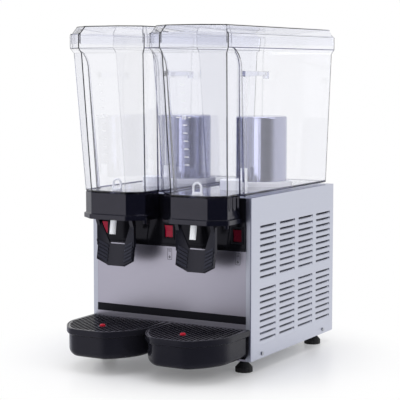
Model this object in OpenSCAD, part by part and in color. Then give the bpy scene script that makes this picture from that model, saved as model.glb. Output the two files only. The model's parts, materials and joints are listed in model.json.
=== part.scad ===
// Cold drink dispenser with two clear bowls, spray pumps, lever taps and drip trays.
// Millimetres, +Z up, front towards -Y. Pieces are drawn with y = 0 at the cabinet's front face and
// then moved back by y_shift, so that the origin lies under the middle of the whole object.

/* [Cabinet] */
// Width over the side panels
cab_w = 380; // [360:1:440]
// Depth from front face to rear face
cab_d = 402; // [390:1:460]
// Height of the cabinet without its feet
cab_h = 332; // [320:1:400]
// Height of the feet
foot_h = 25; // [18:1:50]
// Radius of a foot at the floor
foot_r = 18; // [12:0.5:24]
// Distance of the feet from the cabinet's sides
foot_inset_x = 26; // [22:1:60]
// Distance of the front feet from the front face
foot_front_y = 20; // [20:1:60]
// Distance of the rear feet from the rear face
foot_rear_y = 52; // [25:1:90]
// Thickness of the sheet metal
sheet_t = 1.2; // [0.8:0.1:2]
// Width of the side panels' folded edges
flange_w = 11.6; // [9:0.2:16]
// Thickness of the insulated deck under the bowls
deck_t = 10; // [8:0.5:14]
// Height of the base pan's folded rim
pan_rim = 18; // [14:1:30]

/* [Side louvres] */
// Length of a louvre
louvre_l = 72; // [40:1:80]
// Height of a louvre's slit
louvre_h = 3; // [1.5:0.5:5]
// Distance between louvre columns
louvre_pitch_y = 90; // [82:1:95]
// Distance between louvre rows
louvre_pitch_z = 12.94; // [9:0.02:14]
// Front end of the first column
louvre_front_y = 39.5; // [20:0.5:50]
// Top row's distance under the cabinet's top
louvre_top_drop = 59; // [30:1:70]
// Number of columns
louvre_cols = 4; // [1:1:4]
// Number of rows in each of the two groups
louvre_rows = 9; // [2:1:9]

/* [Front] */
// Height of the black tap panel
tap_panel_h = 108; // [100:1:120]
// Thickness of the tap panel
tap_panel_t = 2.5; // [2:0.1:4]
// How far the field behind each tap stands proud
field_raise = 2; // [1:0.1:3]
// Half width of the field at its top
field_top = 56; // [40:1:70]
// Half width of the field at its bottom
field_bottom = 42; // [30:1:60]
// Height of the lip along the tap panel's bottom
lip_h = 5; // [3:0.5:8]
// How far the lip stands proud
lip_out = 2; // [1:0.1:3]
// Distance of the trim strip above the trays
strip_gap = 10; // [6:0.5:14]
// Height of the trim strip
strip_h = 16; // [8:1:24]
// Thickness of the trim strip
strip_t = 1.6; // [1:0.1:3]

/* [Switches] */
// Distance of the outer switches from the front panel's side edges
switch_inset = 18.2; // [14:0.2:26]
// Height of the switches above the cabinet's bottom
switch_rise = 256; // [250:1:262]
// Width of a rocker
rocker_w = 19; // [15:0.5:22]
// Height of a rocker
rocker_h = 25; // [20:0.5:28]
// How far a rocker is tipped at rest
rocker_tilt = 8; // [4:1:10]
// Depth of the switch bodies behind the front panel
switch_depth = 24; // [20:1:35]
// Width of the bezel around a rocker
bezel_w = 4; // [3:0.5:6]

/* [Bowls] */
// Distance between the bowls' centre planes
bowl_pitch = 190; // [186:1:200]
// Wall thickness of the bowls
bowl_wall = 3; // [2:0.2:4]
// Height of the ribs that the bowls stand on
bowl_rib = 4; // [3:0.5:6]
// Height of the tapered bowl body
bowl_body_h = 285; // [270:1:320]
// Height of the flare under the collar
flare_h = 10; // [8:0.5:14]
// Height of the collar
collar_h = 27; // [24:1:32]
// Width of the flat nose front
nose_flat = 84; // [70:1:90]
// Gap between the collars of the two bowls
collar_gap = 9; // [5:0.5:16]
// How far the flare widens each side of the nose
flare_out = 6; // [4:0.5:9]
// How much each side of the nose widens from its bottom to its top
nose_taper = 11; // [6:0.5:14]
// Depth of a chamfer for each unit of its width
cham_ratio = 0.82; // [0.7:0.01:0.95]
// Reach of the nose in front of the cabinet at the bottom
nose_low = 84; // [78:1:90]
// Reach of the nose in front of the cabinet at the top of the body
nose_high = 117; // [105:1:125]
// Reach of the collar in front of the cabinet
nose_collar = 127; // [120:1:140]
// How far each side of the rear body's top lies inside the collar's
rear_in = 2.5; // [1.5:0.5:4]
// How much each side of the rear body widens from its bottom to its top
rear_taper = 5; // [2:0.5:8]
// Rear end of the body at the bottom
rear_low = 389; // [380:1:392]
// How far the body's rear leans back from its bottom to its top
rear_lean = 15; // [7:1:17]
// How far the collar's rear lies behind the top of the body
rear_flare = 9; // [5:1:14]
// Distance of the step in the side walls in front of the cabinet, at the bottom
step_low = 7; // [6:0.5:10]
// Distance of the step in front of the cabinet at the top of the body
step_high = 31; // [24:0.5:36]
// Height of the arch that ends the step under the collar
arch_h = 44; // [30:1:60]
// Radius of the rear corners
rear_corner = 5; // [4:0.5:30]

/* [Lids] */
// Wall thickness of a lid
lid_wall = 2.5; // [1.5:0.1:3]
// Depth of the skirt inside the collar
skirt_h = 18; // [8:1:20]
// Clearance of the skirt inside the collar
skirt_gap = 1.2; // [0.5:0.1:3]
// Height of the raised lid top above its flange
dome_h = 15; // [8:0.5:22]
// How far the raised top draws in
dome_in = 5; // [3:0.5:9]
// How much further it draws in at the front
dome_front = 7; // [0:0.5:10]
// How far the flange stays inside the collar's outer edge
flange_in = 1; // [0.5:0.1:3]

/* [Cooling drums] */
// Radius of a drum
drum_r = 55; // [45:0.5:58]
// Height of a drum above the deck
drum_h = 156; // [120:1:165]
// Distance of the drum's axis behind the front face
drum_y = 226; // [222:1:250]
// Radius of the round edge on top of a drum
drum_edge = 7; // [3:0.5:12]
// Radius of the ring seal around a drum
seal_r = 66; // [60:0.5:68]
// Height of the ring seal above the deck
seal_h = 17; // [10:0.5:20]

/* [Spray pumps] */
// Distance of the pump's axis behind the front face
pump_y = 100; // [90:1:105]
// Radius of the impeller
impeller_r = 22; // [16:0.5:24]
// Height of the impeller
impeller_h = 14; // [10:0.5:16]
// Radius of the pin that carries the impeller
pump_pin_r = 3; // [2:0.1:4]
// Wall thickness of the pump cover
cover_wall = 2.5; // [2:0.1:4]
// Gap around the impeller
impeller_gap = 3; // [2:0.5:4]
// Distance of the riser's axis behind the front face
riser_y = 147; // [144:0.5:149]
// Outer radius of the spray tube
spray_r = 5; // [4:0.1:6]
// Wall of the spray tube
spray_wall = 1.4; // [1:0.1:2]
// Height of the riser's socket above the bowl's floor
socket_h = 41; // [30:1:60]
// Height of the spray arm above the bowl's floor
arm_h = 240; // [200:1:250]
// Reach of the spray arm behind the riser
arm_reach = 100; // [60:1:120]
// Bend radius of the spray tube
spray_bend = 9; // [7:0.5:14]
// Length of the down-turned outlet
outlet_l = 6; // [3:0.5:12]
// Radius of the pump motor
motor_r = 30; // [26:0.5:32]
// Height of the pump motor
motor_h = 62; // [40:1:70]
// Radius of the drive magnet
magnet_r = 24; // [18:0.5:26]

/* [Taps] */
// Distance of the valve's axis in front of the cabinet
valve_front = 50; // [48:0.5:52]
// Radius of the outlet in the bowl's floor
outlet_r = 8; // [6:0.5:9]
// Inner radius of the valve chamber
chamber_r = 12; // [11.5:0.1:13]
// Height of the valve chamber
chamber_h = 20; // [19:0.5:22]
// Radius of the plunger's stem
stem_r = 2.5; // [2:0.1:2.6]
// Outer radius of the nozzle
nozzle_r = 6.5; // [5.5:0.1:7]
// Length of the nozzle
nozzle_l = 70; // [50:1:75]
// Forward tilt of the nozzle
nozzle_tilt = 9; // [7:0.5:11]
// Angle through which the lever swings
lever_swing = 16; // [8:0.5:18]
// Distance from the lever's pivot back to its lifting bar
lift_arm = 16; // [15:0.5:18]
// Half width of the paddle's middle face
paddle_mid = 18.7; // [14:0.1:22]
// Width of a paddle wing
wing_w = 29; // [27:0.5:30]
// Forward angle of the wings
wing_angle = 15.5; // [8:0.5:20]
// Height of the paddle
paddle_h = 45; // [30:1:55]
// Forward tilt of the paddle
paddle_tilt = 10; // [6:0.5:12]
// Thickness of the lever
lever_t = 6; // [4:0.5:7]
// Distance of the paddle's top under the nose cover
paddle_drop = 55; // [48:1:65]
// Wall thickness of the nose cover
nose_wall = 2.5; // [2:0.1:3]
// Height of the nose cover above its flange
nose_h = 44; // [43:0.5:50]
// Height of the nose cover's flange
brim_h = 10; // [8:0.5:12]
// How far the flange stands proud
brim_out = 4; // [2:0.5:6]
// Wire thickness of the valve spring
spring_wire = 1; // [0.8:0.1:1.2]
// Number of turns of the valve spring
spring_turns = 4; // [3:1:4]

/* [Drip trays] */
// Reach of a tray in front of the cabinet
tray_reach = 168; // [150:1:190]
// Gap between the two trays
tray_gap = 2; // [1:0.5:8]
// How much narrower each side of a tray is where its round front begins
tray_narrow = 1; // [0:0.5:20]
// Distance of that corner in front of the cabinet
tray_side_y = 88; // [80:1:112]
// Width that each round corner takes from a tray's front
tray_round = 54; // [40:0.5:56]
// Radius of the front corners
tray_corner = 145; // [100:5:200]
// Height of a tray's top above the cabinet's bottom
tray_rise = 66; // [64:1:70]
// Height of a tray
tray_h = 58; // [50:1:62]
// Height of the rim band
rim_h = 13; // [10:0.5:18]
// How far the tray steps in under the rim band
rim_step = 5; // [2:0.5:7]
// Wall thickness of a tray
tray_wall = 3; // [2:0.2:4]
// Thickness of a grid
grid_t = 5; // [3:0.5:7]
// Distance between grid bars
grid_pitch = 9.5; // [7:0.1:12]
// Width of a grid bar
grid_bar = 3.6; // [2.5:0.1:5]
// Distance of the float in front of the cabinet
float_front = 109; // [90:1:115]
// Radius of the red float button
button_r = 6; // [4:0.2:7]
// How far the float rises
float_rise = 8; // [4:0.5:10]

/* [Cooling unit] */
// Radius of the compressor
comp_r = 60; // [50:1:62]
// Height of the compressor's shell
comp_h = 145; // [110:1:155]
// Width of the condenser along the cabinet
cond_l = 220; // [200:1:230]
// Height of the condenser
cond_h = 190; // [180:1:200]
// Thickness of the condenser
cond_t = 40; // [30:1:44]
// Radius of the fan
fan_r = 78; // [60:1:82]
// Radius of the fan motor
fan_motor_r = 26; // [20:1:32]
// Radius of a refrigerant line
line_r = 4; // [3:0.5:5]

/* [Hidden] */

$fn = 48;
// Gap between neighbouring sheets, gap between moving bodies, and radial clearance of a running fit
fit = 0.2;
gap = 0.4;
running = 0.05;
// Extra length of a cutting body past the face that it cuts
cut = 1;

LEFT = -1;
RIGHT = 1;
MIDDLE = 0;

// Heights above the floor
z_cab = foot_h;
z_pan = z_cab + sheet_t;
z_top = z_cab + cab_h;
z_tap = z_top - tap_panel_h;
z_switch = z_cab + switch_rise;
z_bowl = z_top + bowl_rib;
z_floor = z_bowl + bowl_wall;
z_flare = z_bowl + bowl_body_h;
z_collar = z_flare + flare_h;
z_rim = z_collar + collar_h;
z_brim = z_bowl - nose_h - brim_h;
z_tray = z_cab + tray_rise;
z_strip = z_tray + strip_gap;

rear_high = rear_low + rear_lean;
rear_collar = rear_high + rear_flare;

// The object reaches from the trays' front to the collars' rear, and its middle is the origin
y_shift = (tray_reach - rear_collar) / 2;

front_half = cab_w / 2 - flange_w - fit;
inside_half = cab_w / 2 - sheet_t - fit;
inside_front = sheet_t + fit;
inside_rear = cab_d - sheet_t - fit;
panel_face = tap_panel_t + max(field_raise, lip_out);

steel_grey = [0.74, 0.74, 0.78];
panel_grey = [0.80, 0.81, 0.86];
black_plastic = [0.10, 0.10, 0.12];
white_plastic = [0.93, 0.93, 0.92];
clear_plastic = [0.86, 0.88, 0.95, 0.35];
red_plastic = [0.80, 0.08, 0.16];
copper = [0.72, 0.45, 0.30];

// Helpers

module in_frame() {
    translate([0, y_shift, 0]) children();
}

module beside(side) {
    in_frame() translate([side * bowl_pitch / 2, 0, 0]) children();
}

module slab(low, high) {
    translate(low) cube(high - low);
}

module rod(r, z0, z1) {
    translate([0, 0, z0]) cylinder(r = r, h = z1 - z0);
}

module ring(r_in, r_out, z0, z1) {
    difference() {
        rod(r_out, z0, z1);
        rod(r_in, z0 - cut, z1 + cut);
    }
}

// A bar along X, centred on x = 0
module cross_rod(r, length) {
    rotate([0, 90, 0]) cylinder(r = r, h = length, center = true);
}

function mix(a, b, t) = a + (b - a) * t;

// Solid through a stack of outlines of as many points each, given anticlockwise from above
module loft(outlines, heights) {
    n = len(outlines[0]);
    tiers = len(outlines) - 1;
    points = [for (k = [0:tiers]) each [for (p = outlines[k]) [p.x, p.y, heights[k]]]];
    sides = [
        for (k = [0:tiers - 1], i = [0:n - 1]) let (a = k * n + i, b = k * n + (i + 1) % n)
            each [[a, a + n, b + n], [a, b + n, b]]
    ];
    polyhedron(points, concat([[for (i = [0:n - 1]) i]], sides,
                              [[for (i = [0:n - 1]) (tiers + 1) * n - 1 - i]]));
}

// Points of the round corner between two points, anticlockwise with its centre on the left
function corner_arc(p, q, r, steps) =
    let (
        mid = (p + q) / 2,
        along = q - p,
        d = norm(along),
        back = sqrt(max(r * r - d * d / 4, 0)),
        c = mid + back * [-along.y, along.x] / d,
        a0 = atan2(p.y - c.y, p.x - c.x),
        turn = (atan2(q.y - c.y, q.x - c.x) - a0 + 720) % 360
    )
    [for (i = [1:steps - 1]) c + r * [cos(a0 + turn * i / steps), sin(a0 + turn * i / steps)]];

// Cabinet

foot_places = [
    for (x = [-1, 1], y = [foot_front_y, cab_d - foot_rear_y]) [x * (cab_w / 2 - foot_inset_x), y]
];
foot_stud_r = 4;
foot_stud_l = 12;
foot_flute_r = 2;
foot_flutes = 12;
foot_base_h = foot_h * 0.55;
foot_neck_r = foot_r * 0.6;

module feet() {
    color(black_plastic) in_frame() for (p = foot_places) translate(p) {
        difference() {
            union() {
                rod(foot_r, 0, foot_base_h);
                translate([0, 0, foot_base_h])
                    cylinder(r1 = foot_r, r2 = foot_neck_r, h = foot_h - foot_base_h);
                rod(foot_stud_r, foot_h - cut, foot_h + foot_stud_l);
            }
            for (i = [0:foot_flutes - 1]) rotate(i * 360 / foot_flutes)
                translate([foot_r + foot_flute_r / 2, 0, 0]) rod(foot_flute_r, -cut, foot_base_h);
        }
    }
}

screw_r = 2;
screw_head_r = 4.2;
screw_head_h = 2;
screw_l = 9;
screw_rise = 9;
screw_front = 50;
screw_rear = 54;
side_screw_y = [screw_front, cab_d - screw_rear];
rear_screw_inset = 12;
rear_screw_x = front_half - rear_screw_inset;
rear_screw_z = [z_cab + screw_rise, z_top - deck_t / 2];

module base_pan() {
    color(steel_grey) in_frame() difference() {
        slab([-inside_half, inside_front, z_cab], [inside_half, inside_rear, z_cab + pan_rim]);
        slab([-inside_half + sheet_t, inside_front + sheet_t, z_pan],
             [inside_half - sheet_t, inside_rear - sheet_t, z_cab + pan_rim + cut]);
        for (p = foot_places) translate(p) rod(foot_stud_r + fit, z_cab - cut, z_pan + cut);
        for (y = side_screw_y) translate([0, y, z_cab + screw_rise])
            cross_rod(screw_r + fit, cab_w);
        for (x = [-1, 1]) translate([x * rear_screw_x, inside_rear - screw_l, rear_screw_z[0]])
            rotate([-90, 0, 0]) cylinder(r = screw_r + fit, h = 2 * screw_l);
    }
}

// Rows of both groups, counted down from the top one, with one row left out between them
louvre_list = [for (i = [0:2 * louvre_rows]) if (i != louvre_rows) i];

module louvre_slits() {
    for (c = [0:louvre_cols - 1], i = louvre_list)
        translate([louvre_front_y + c * louvre_pitch_y,
                   z_top - louvre_top_drop - i * louvre_pitch_z - louvre_h])
            square([louvre_l, louvre_h]);
}

module side_panel(side) {
    edge = cab_w / 2;
    color(panel_grey) in_frame() mirror([side == LEFT ? 1 : 0, 0, 0]) difference() {
        union() {
            translate([edge - sheet_t, 0, 0]) rotate([90, 0, 90]) linear_extrude(sheet_t)
                difference() {
                    translate([0, z_cab]) square([cab_d, cab_h]);
                    louvre_slits();
                }
            slab([edge - flange_w, 0, z_cab], [edge - sheet_t / 2, sheet_t, z_top]);
            slab([edge - flange_w, cab_d - sheet_t, z_cab], [edge - sheet_t / 2, cab_d, z_top]);
            slab([edge - flange_w, 0, z_top - sheet_t], [edge - sheet_t / 2, cab_d, z_top]);
        }
        for (y = side_screw_y) translate([edge, y, z_cab + screw_rise])
            cross_rod(screw_r + fit, 2 * flange_w);
    }
}

// A tray lifts until it nearly meets the trim strip, which frees its hooks' lips from the panel
tray_lift = strip_gap - 1;
hook_lip = tray_lift - 2;
hook_x = 60;
hook_w = 22;
hook_t = 8;
hook_lip_t = 3;
hook_drop = 18;
hook_z = z_tray - hook_drop;

switch_pitch = front_half - switch_inset;

module switch_places() {
    for (x = [-switch_pitch, 0, switch_pitch]) translate([x, 0, z_switch]) children();
}

// Clear space inside a switch housing, and the housing's own walls
rocker_slot_w = rocker_w / 2 + gap;
rocker_room = 1.2;
rocker_slot_h = rocker_h / 2 + rocker_room;
switch_wall = 1.5;

module switch_cutouts() {
    switch_places()
        slab([-rocker_slot_w - switch_wall - fit, -panel_face - cut, -rocker_slot_h - switch_wall - fit],
             [rocker_slot_w + switch_wall + fit, inside_front + cut, rocker_slot_h + switch_wall + fit]);
}

module front_panel() {
    color(steel_grey) in_frame() difference() {
        slab([-front_half, 0, z_cab], [front_half, sheet_t, z_top]);
        switch_cutouts();
        for (side = [LEFT, RIGHT], x = [-hook_x, hook_x])
            translate([side * bowl_pitch / 2 + x, 0, hook_z])
                slab([-hook_w / 2 - gap, -cut, -hook_t - fit],
                     [hook_w / 2 + gap, sheet_t + cut, tray_lift + gap]);
    }
}

module tap_panel() {
    color(black_plastic) in_frame() difference() {
        union() {
            slab([-front_half, -tap_panel_t, z_tap], [front_half, 0, z_top]);
            slab([-front_half, -tap_panel_t - lip_out, z_tap], [front_half, 0, z_tap + lip_h]);
            for (side = [LEFT, RIGHT]) translate([side * bowl_pitch / 2, 0, 0])
                rotate([90, 0, 0]) linear_extrude(tap_panel_t + field_raise)
                    polygon([[-field_bottom, z_tap + 2 * lip_h], [field_bottom, z_tap + 2 * lip_h],
                             [field_top, z_top], [-field_top, z_top]]);
        }
        switch_cutouts();
    }
}

module trim_strip() {
    color(black_plastic) in_frame()
        slab([-front_half, -strip_t, z_strip], [front_half, 0, z_strip + strip_h]);
}

well_skin = 1.5;
well_gap = 2;
// Each drum has two lines, one on either side of its axis, in holes through the deck
line_entry = 7;
line_hole_gap = 0.3;
capillary_r = 2;
line_holes = [
    [-bowl_pitch / 2, drum_y - line_entry, line_r], [-bowl_pitch / 2, drum_y + line_entry, capillary_r],
    [bowl_pitch / 2, drum_y - line_entry, line_r], [bowl_pitch / 2, drum_y + line_entry, line_r]
];

module top_deck() {
    color(panel_grey) in_frame() difference() {
        slab([-front_half, inside_front, z_top - deck_t], [front_half, inside_rear, z_top]);
        for (side = [LEFT, RIGHT]) translate([side * bowl_pitch / 2, pump_y, 0])
            rod(magnet_r + well_gap, z_top - deck_t - cut, z_top - well_skin);
        for (h = line_holes) translate([h.x, h.y, 0])
            rod(h.z + line_hole_gap, z_top - deck_t - cut, z_top + cut);
        for (x = [-1, 1]) translate([x * rear_screw_x, inside_rear - screw_l, rear_screw_z[1]])
            rotate([-90, 0, 0]) cylinder(r = screw_r + fit, h = 2 * screw_l);
    }
}

gland_inset = 58.2;
gland_rise = 48;
gland_x = gland_inset - front_half;
gland_z = z_cab + gland_rise;
gland_bore_r = 4.5;
gland_r = 9;
gland_in = 14;
gland_out = 8;
gland_nut_r = 13;
gland_nut_h = 4;
knob_inset = 58.2;
knob_drop = 82;
knob_x = front_half - knob_inset;
knob_z = z_top - knob_drop;
knob_r = 13;
knob_h = 8;
knob_groove = 1.2;
knob_shaft_r = 3;
knob_room = 2;
vent_l = 120;
vent_h = 4;
vent_pitch = 12;
vent_rows = 12;
vent_rise = 80;

module rear_panel() {
    color(panel_grey) in_frame() difference() {
        translate([0, cab_d, 0]) rotate([90, 0, 0]) linear_extrude(sheet_t) difference() {
            translate([-front_half, z_cab]) square([2 * front_half, cab_h]);
            for (x = [-1, 1], i = [0:vent_rows - 1])
                translate([x * (vent_l / 2 + vent_pitch) - vent_l / 2, z_cab + vent_rise + i * vent_pitch])
                    square([vent_l, vent_h]);
        }
        translate([gland_x, cab_d, gland_z]) rotate([90, 0, 0])
            cylinder(r = gland_r + fit, h = 4 * sheet_t, center = true);
        translate([knob_x, cab_d, knob_z]) rotate([90, 0, 0])
            cylinder(r = knob_shaft_r + knob_room, h = 4 * sheet_t, center = true);
        for (x = [-1, 1], z = rear_screw_z) translate([x * rear_screw_x, cab_d, z]) rotate([90, 0, 0])
            cylinder(r = screw_r + fit, h = 4 * sheet_t, center = true);
    }
}

// Pan head screw, its head's underside at the origin and its shank along -Z
module screw() {
    rod(screw_head_r, 0, screw_head_h);
    rod(screw_r, -screw_l, cut / 2);
}

module panel_screws() {
    color(steel_grey) in_frame() {
        for (s = [-1, 1], y = side_screw_y)
            translate([s * cab_w / 2, y, z_cab + screw_rise]) rotate([0, s * 90, 0]) screw();
        for (x = [-1, 1], z = rear_screw_z)
            translate([x * rear_screw_x, cab_d, z]) rotate([-90, 0, 0]) screw();
    }
}

module cable_gland() {
    color(black_plastic) in_frame() translate([gland_x, cab_d, gland_z]) rotate([-90, 0, 0])
        difference() {
            union() {
                rod(gland_r, -gland_in, gland_out);
                rod(gland_nut_r, 0, gland_nut_h);
                rod(gland_nut_r, -sheet_t - gland_nut_h, -sheet_t);
            }
            rod(gland_bore_r, -gland_in - cut, gland_out + cut);
        }
}

thermostat_size = [46, 30, 40];
thermostat_bore = 25;

module thermostat() {
    color(white_plastic) in_frame() translate([knob_x, inside_rear, knob_z]) difference() {
        translate([-thermostat_size.x / 2, -thermostat_size.y, -thermostat_size.z / 2])
            cube(thermostat_size);
        rotate([90, 0, 0])
            cylinder(r = knob_shaft_r + running, h = 2 * thermostat_bore, center = true);
    }
}

module thermostat_knob() {
    color(black_plastic) in_frame() translate([knob_x, cab_d, knob_z]) rotate([-90, 0, 0]) {
        difference() {
            rod(knob_r, gap, knob_h);
            translate([-knob_groove, 0, knob_h - knob_groove])
                cube([2 * knob_groove, knob_r + cut, knob_groove + cut]);
        }
        rod(knob_shaft_r, -thermostat_bore / 2, knob_h / 2);
    }
}

// Switches: the rocker turns on two stub pins in its housing

rocker_pin_r = 1.5;
rocker_pin_y = 3;
rocker_back = 4;
rocker_front = 5;
rocker_dip = 1.5;
rocker_slope = 3;
rocker_clear = 5;
bezel_t = 1.5;
rocker_pin_half = rocker_slot_w + switch_wall / 3;

module switch_housings() {
    face = -tap_panel_t;
    color(black_plastic) in_frame() switch_places() difference() {
        union() {
            slab([-rocker_slot_w - bezel_w, face - bezel_t, -rocker_slot_h - bezel_w],
                 [rocker_slot_w + bezel_w, face, rocker_slot_h + bezel_w]);
            slab([-rocker_slot_w - switch_wall, face - bezel_t, -rocker_slot_h - switch_wall],
                 [rocker_slot_w + switch_wall, switch_depth, rocker_slot_h + switch_wall]);
        }
        slab([-rocker_slot_w, face - bezel_t - cut, -rocker_slot_h],
             [rocker_slot_w, rocker_pin_y + rocker_back + rocker_clear, rocker_slot_h]);
        translate([0, rocker_pin_y, 0]) cross_rod(rocker_pin_r + running, 2 * (rocker_pin_half + gap));
    }
}

module rocker(place) {
    color(red_plastic) in_frame()
        translate([place * switch_pitch, rocker_pin_y, z_switch]) rotate([rocker_tilt, 0, 0]) {
            translate([-rocker_w / 2, 0, 0]) rotate([90, 0, 90]) linear_extrude(rocker_w)
                polygon([[rocker_back, rocker_slope - rocker_h / 2],
                         [rocker_back, rocker_h / 2 - rocker_slope],
                         [-rocker_front, rocker_h / 2], [rocker_dip - rocker_front, 0],
                         [-rocker_front, -rocker_h / 2]]);
            cross_rod(rocker_pin_r, 2 * rocker_pin_half);
        }
}

// Cooling unit

grommet_h = 10;
grommet_r = 9;
grommet_bore_r = 4.2;
comp_x = 75;
comp_rear = 127;
comp_y = cab_d - comp_rear;
comp_foot_w = 150;
comp_foot_d = 110;
comp_foot_t = 3;
comp_z = z_pan + grommet_h;
comp_shell_z = comp_z + comp_foot_t;
comp_foot_inset = 12;
comp_foot_places = [
    for (x = [-1, 1], y = [-1, 1])
        [x * (comp_foot_w / 2 - comp_foot_inset), y * (comp_foot_d / 2 - comp_foot_inset)]
];
stub_r = 6;
stub_h = 8;
stub_offset = bowl_pitch / 2 - comp_x;

module compressor() {
    dome = comp_r * 0.45;
    color(black_plastic) in_frame() translate([comp_x, comp_y, comp_shell_z]) {
        rotate_extrude() polygon(concat(
            [[0, 0], [comp_r, 0]],
            [for (a = [0:10:90]) [comp_r - dome + dome * cos(a), comp_h - dome + dome * sin(a)]],
            [[0, comp_h]]));
        for (x = [-1, 1]) translate([x * stub_offset, 0, 0]) rod(stub_r, comp_h - cut, comp_h + stub_h);
        difference() {
            slab([-comp_foot_w / 2, -comp_foot_d / 2, -comp_foot_t], [comp_foot_w / 2, comp_foot_d / 2, 0]);
            for (p = comp_foot_places) translate(p) rod(grommet_bore_r, -comp_foot_t - cut, cut);
        }
    }
}

module compressor_grommets() {
    color(black_plastic) in_frame() translate([comp_x, comp_y, 0])
        for (p = comp_foot_places) translate(p) ring(grommet_bore_r, grommet_r, z_pan, comp_z);
}

cond_gap = 14;
cond_x = -inside_half + sheet_t + cond_gap;
cond_y = 96;
cond_fins = 28;
fin_t = 1;
cond_tube_r = 5;
cond_tubes = 5;
cond_plate = 2;
cond_edge = 3;
cond_tube_out = 8;

module condenser() {
    color(steel_grey) in_frame() translate([cond_x, cond_y, z_pan]) {
        for (y = [0, cond_l - cond_plate]) slab([0, y, 0], [cond_t, y + cond_plate, cond_h]);
        for (i = [1:cond_fins]) let (y = i * cond_l / (cond_fins + 1))
            slab([cond_edge, y, cond_edge], [cond_t - cond_edge, y + fin_t, cond_h - cond_edge]);
        for (i = [0:cond_tubes - 1])
            translate([cond_t / 2, -cond_tube_out, cond_h * (i + 0.5) / cond_tubes])
                rotate([-90, 0, 0]) cylinder(r = cond_tube_r, h = cond_l + 2 * cond_tube_out);
    }
}

fan_gap = 5;
fan_y = cond_y + cond_l / 2;
fan_z = z_pan + cond_h / 2;
bracket_x = cond_x + cond_t + fan_gap;
bracket_t = 2;
bracket_half = cond_h / 2;
fan_blade_w = 22;
fan_hub_r = 16;
fan_hub_l = 20;
fan_shaft_r = 3;
fan_blades = 5;
fan_pitch = 32;
fan_blade_t = 2;
fan_room = 6;
fan_x = bracket_x + bracket_t + fan_room;
fan_motor_x = fan_x + fan_hub_l + fan_room;
fan_motor_l = 44;
bracket_arm = 5;

module fan_bracket() {
    out = fan_motor_x - bracket_x;
    color(steel_grey) in_frame() translate([bracket_x, fan_y, fan_z]) {
        difference() {
            slab([0, -bracket_half, -bracket_half], [bracket_t, bracket_half, bracket_half]);
            cross_rod(fan_r + fan_room, 4 * bracket_t);
        }
        for (y = [-1, 1]) translate([0, y * (bracket_half - bracket_arm), 0])
            slab([0, -bracket_arm, -bracket_arm], [out + bracket_t, bracket_arm, bracket_arm]);
        translate([out, 0, 0]) difference() {
            union() {
                slab([0, -bracket_half, -bracket_arm], [bracket_t, bracket_half, bracket_arm]);
                slab([0, -fan_motor_r, -fan_motor_r], [bracket_t, fan_motor_r, fan_motor_r]);
            }
            cross_rod(2 * fan_shaft_r, 4 * bracket_t);
        }
    }
}

module fan_motor() {
    color(black_plastic) in_frame() translate([fan_motor_x + bracket_t, fan_y, fan_z]) rotate([0, 90, 0])
        difference() {
            rod(fan_motor_r, 0, fan_motor_l);
            rod(fan_shaft_r + running, -cut, fan_motor_l - fan_room);
        }
}

module fan_blade() {
    color(white_plastic) in_frame() translate([fan_x, fan_y, fan_z]) rotate([0, 90, 0]) {
        rod(fan_hub_r, 0, fan_hub_l);
        rod(fan_shaft_r, fan_hub_l - cut, fan_hub_l + fan_motor_l / 2);
        for (i = [0:fan_blades - 1]) rotate(i * 360 / fan_blades)
            translate([fan_hub_r - fan_blade_t, 0, fan_hub_l / 2]) rotate([fan_pitch, 0, 0])
                translate([0, -fan_blade_w / 2, -fan_blade_t / 2])
                    cube([fan_r - fan_hub_r, fan_blade_w, fan_blade_t]);
    }
}

// Tubes given as rings of points, each ring anticlockwise about the tube's direction
module tube(rings) {
    n = len(rings[0]);
    last = len(rings) - 1;
    sides = [for (k = [0:last - 1], i = [0:n - 1]) let (a = k * n + i, b = k * n + (i + 1) % n)
        each [[a, a + n, b + n], [a, b + n, b]]];
    polyhedron([for (g = rings) each g],
               concat([[for (i = [0:n - 1]) i]], sides, [[for (i = [0:n - 1]) (last + 1) * n - 1 - i]]));
}

function unit(v) = v / norm(v);

// Slides each point of a ring along its leg to the plane that halves the next bend
function pipe_rings(route, rings, k) =
    k == len(route) ? rings :
    let (
        a = unit(route[k] - route[k - 1]),
        b = k < len(route) - 1 ? unit(route[k + 1] - route[k]) : a,
        n = unit(a + b),
        last = rings[k - 1],
        here = [for (p = last) p + a * (((route[k] - p) * n) / (a * n))]
    )
    pipe_rings(route, concat(rings, [here]), k + 1);

// Tube of eight sides along a route whose legs follow the axes, with mitred bends
module pipe(route, r) {
    first = unit(route[1] - route[0]);
    up = abs(first.z) > 0.5 ? [1, 0, 0] : [0, 0, 1];
    e1 = unit(cross(first, up));
    e2 = cross(first, e1);
    start = [for (a = [22.5:45:360]) route[0] + r * (cos(a) * e1 + sin(a) * e2)];
    tube(pipe_rings(route, [start], 1));
}

drier_r = 10;
drier_h = 80;
drier_lift = 20;
// Lengths of the lines' short legs, and how far they stand off the pieces beside them
line_leg = 10;
line_off = 30;
line_rise = 18;
line_y = cond_y + cond_l + cond_tube_out;
cond_mid_x = cond_x + cond_t / 2;
low_tube_z = z_pan + cond_h * 0.5 / cond_tubes;
high_tube_z = z_pan + cond_h * (cond_tubes - 0.5) / cond_tubes;
drier_y = line_y + 2 * line_leg;
drier_z = low_tube_z + drier_lift;
comp_top = comp_shell_z + comp_h + stub_h;
under_deck = z_top - deck_t;
line_end = z_top + line_leg;

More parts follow.
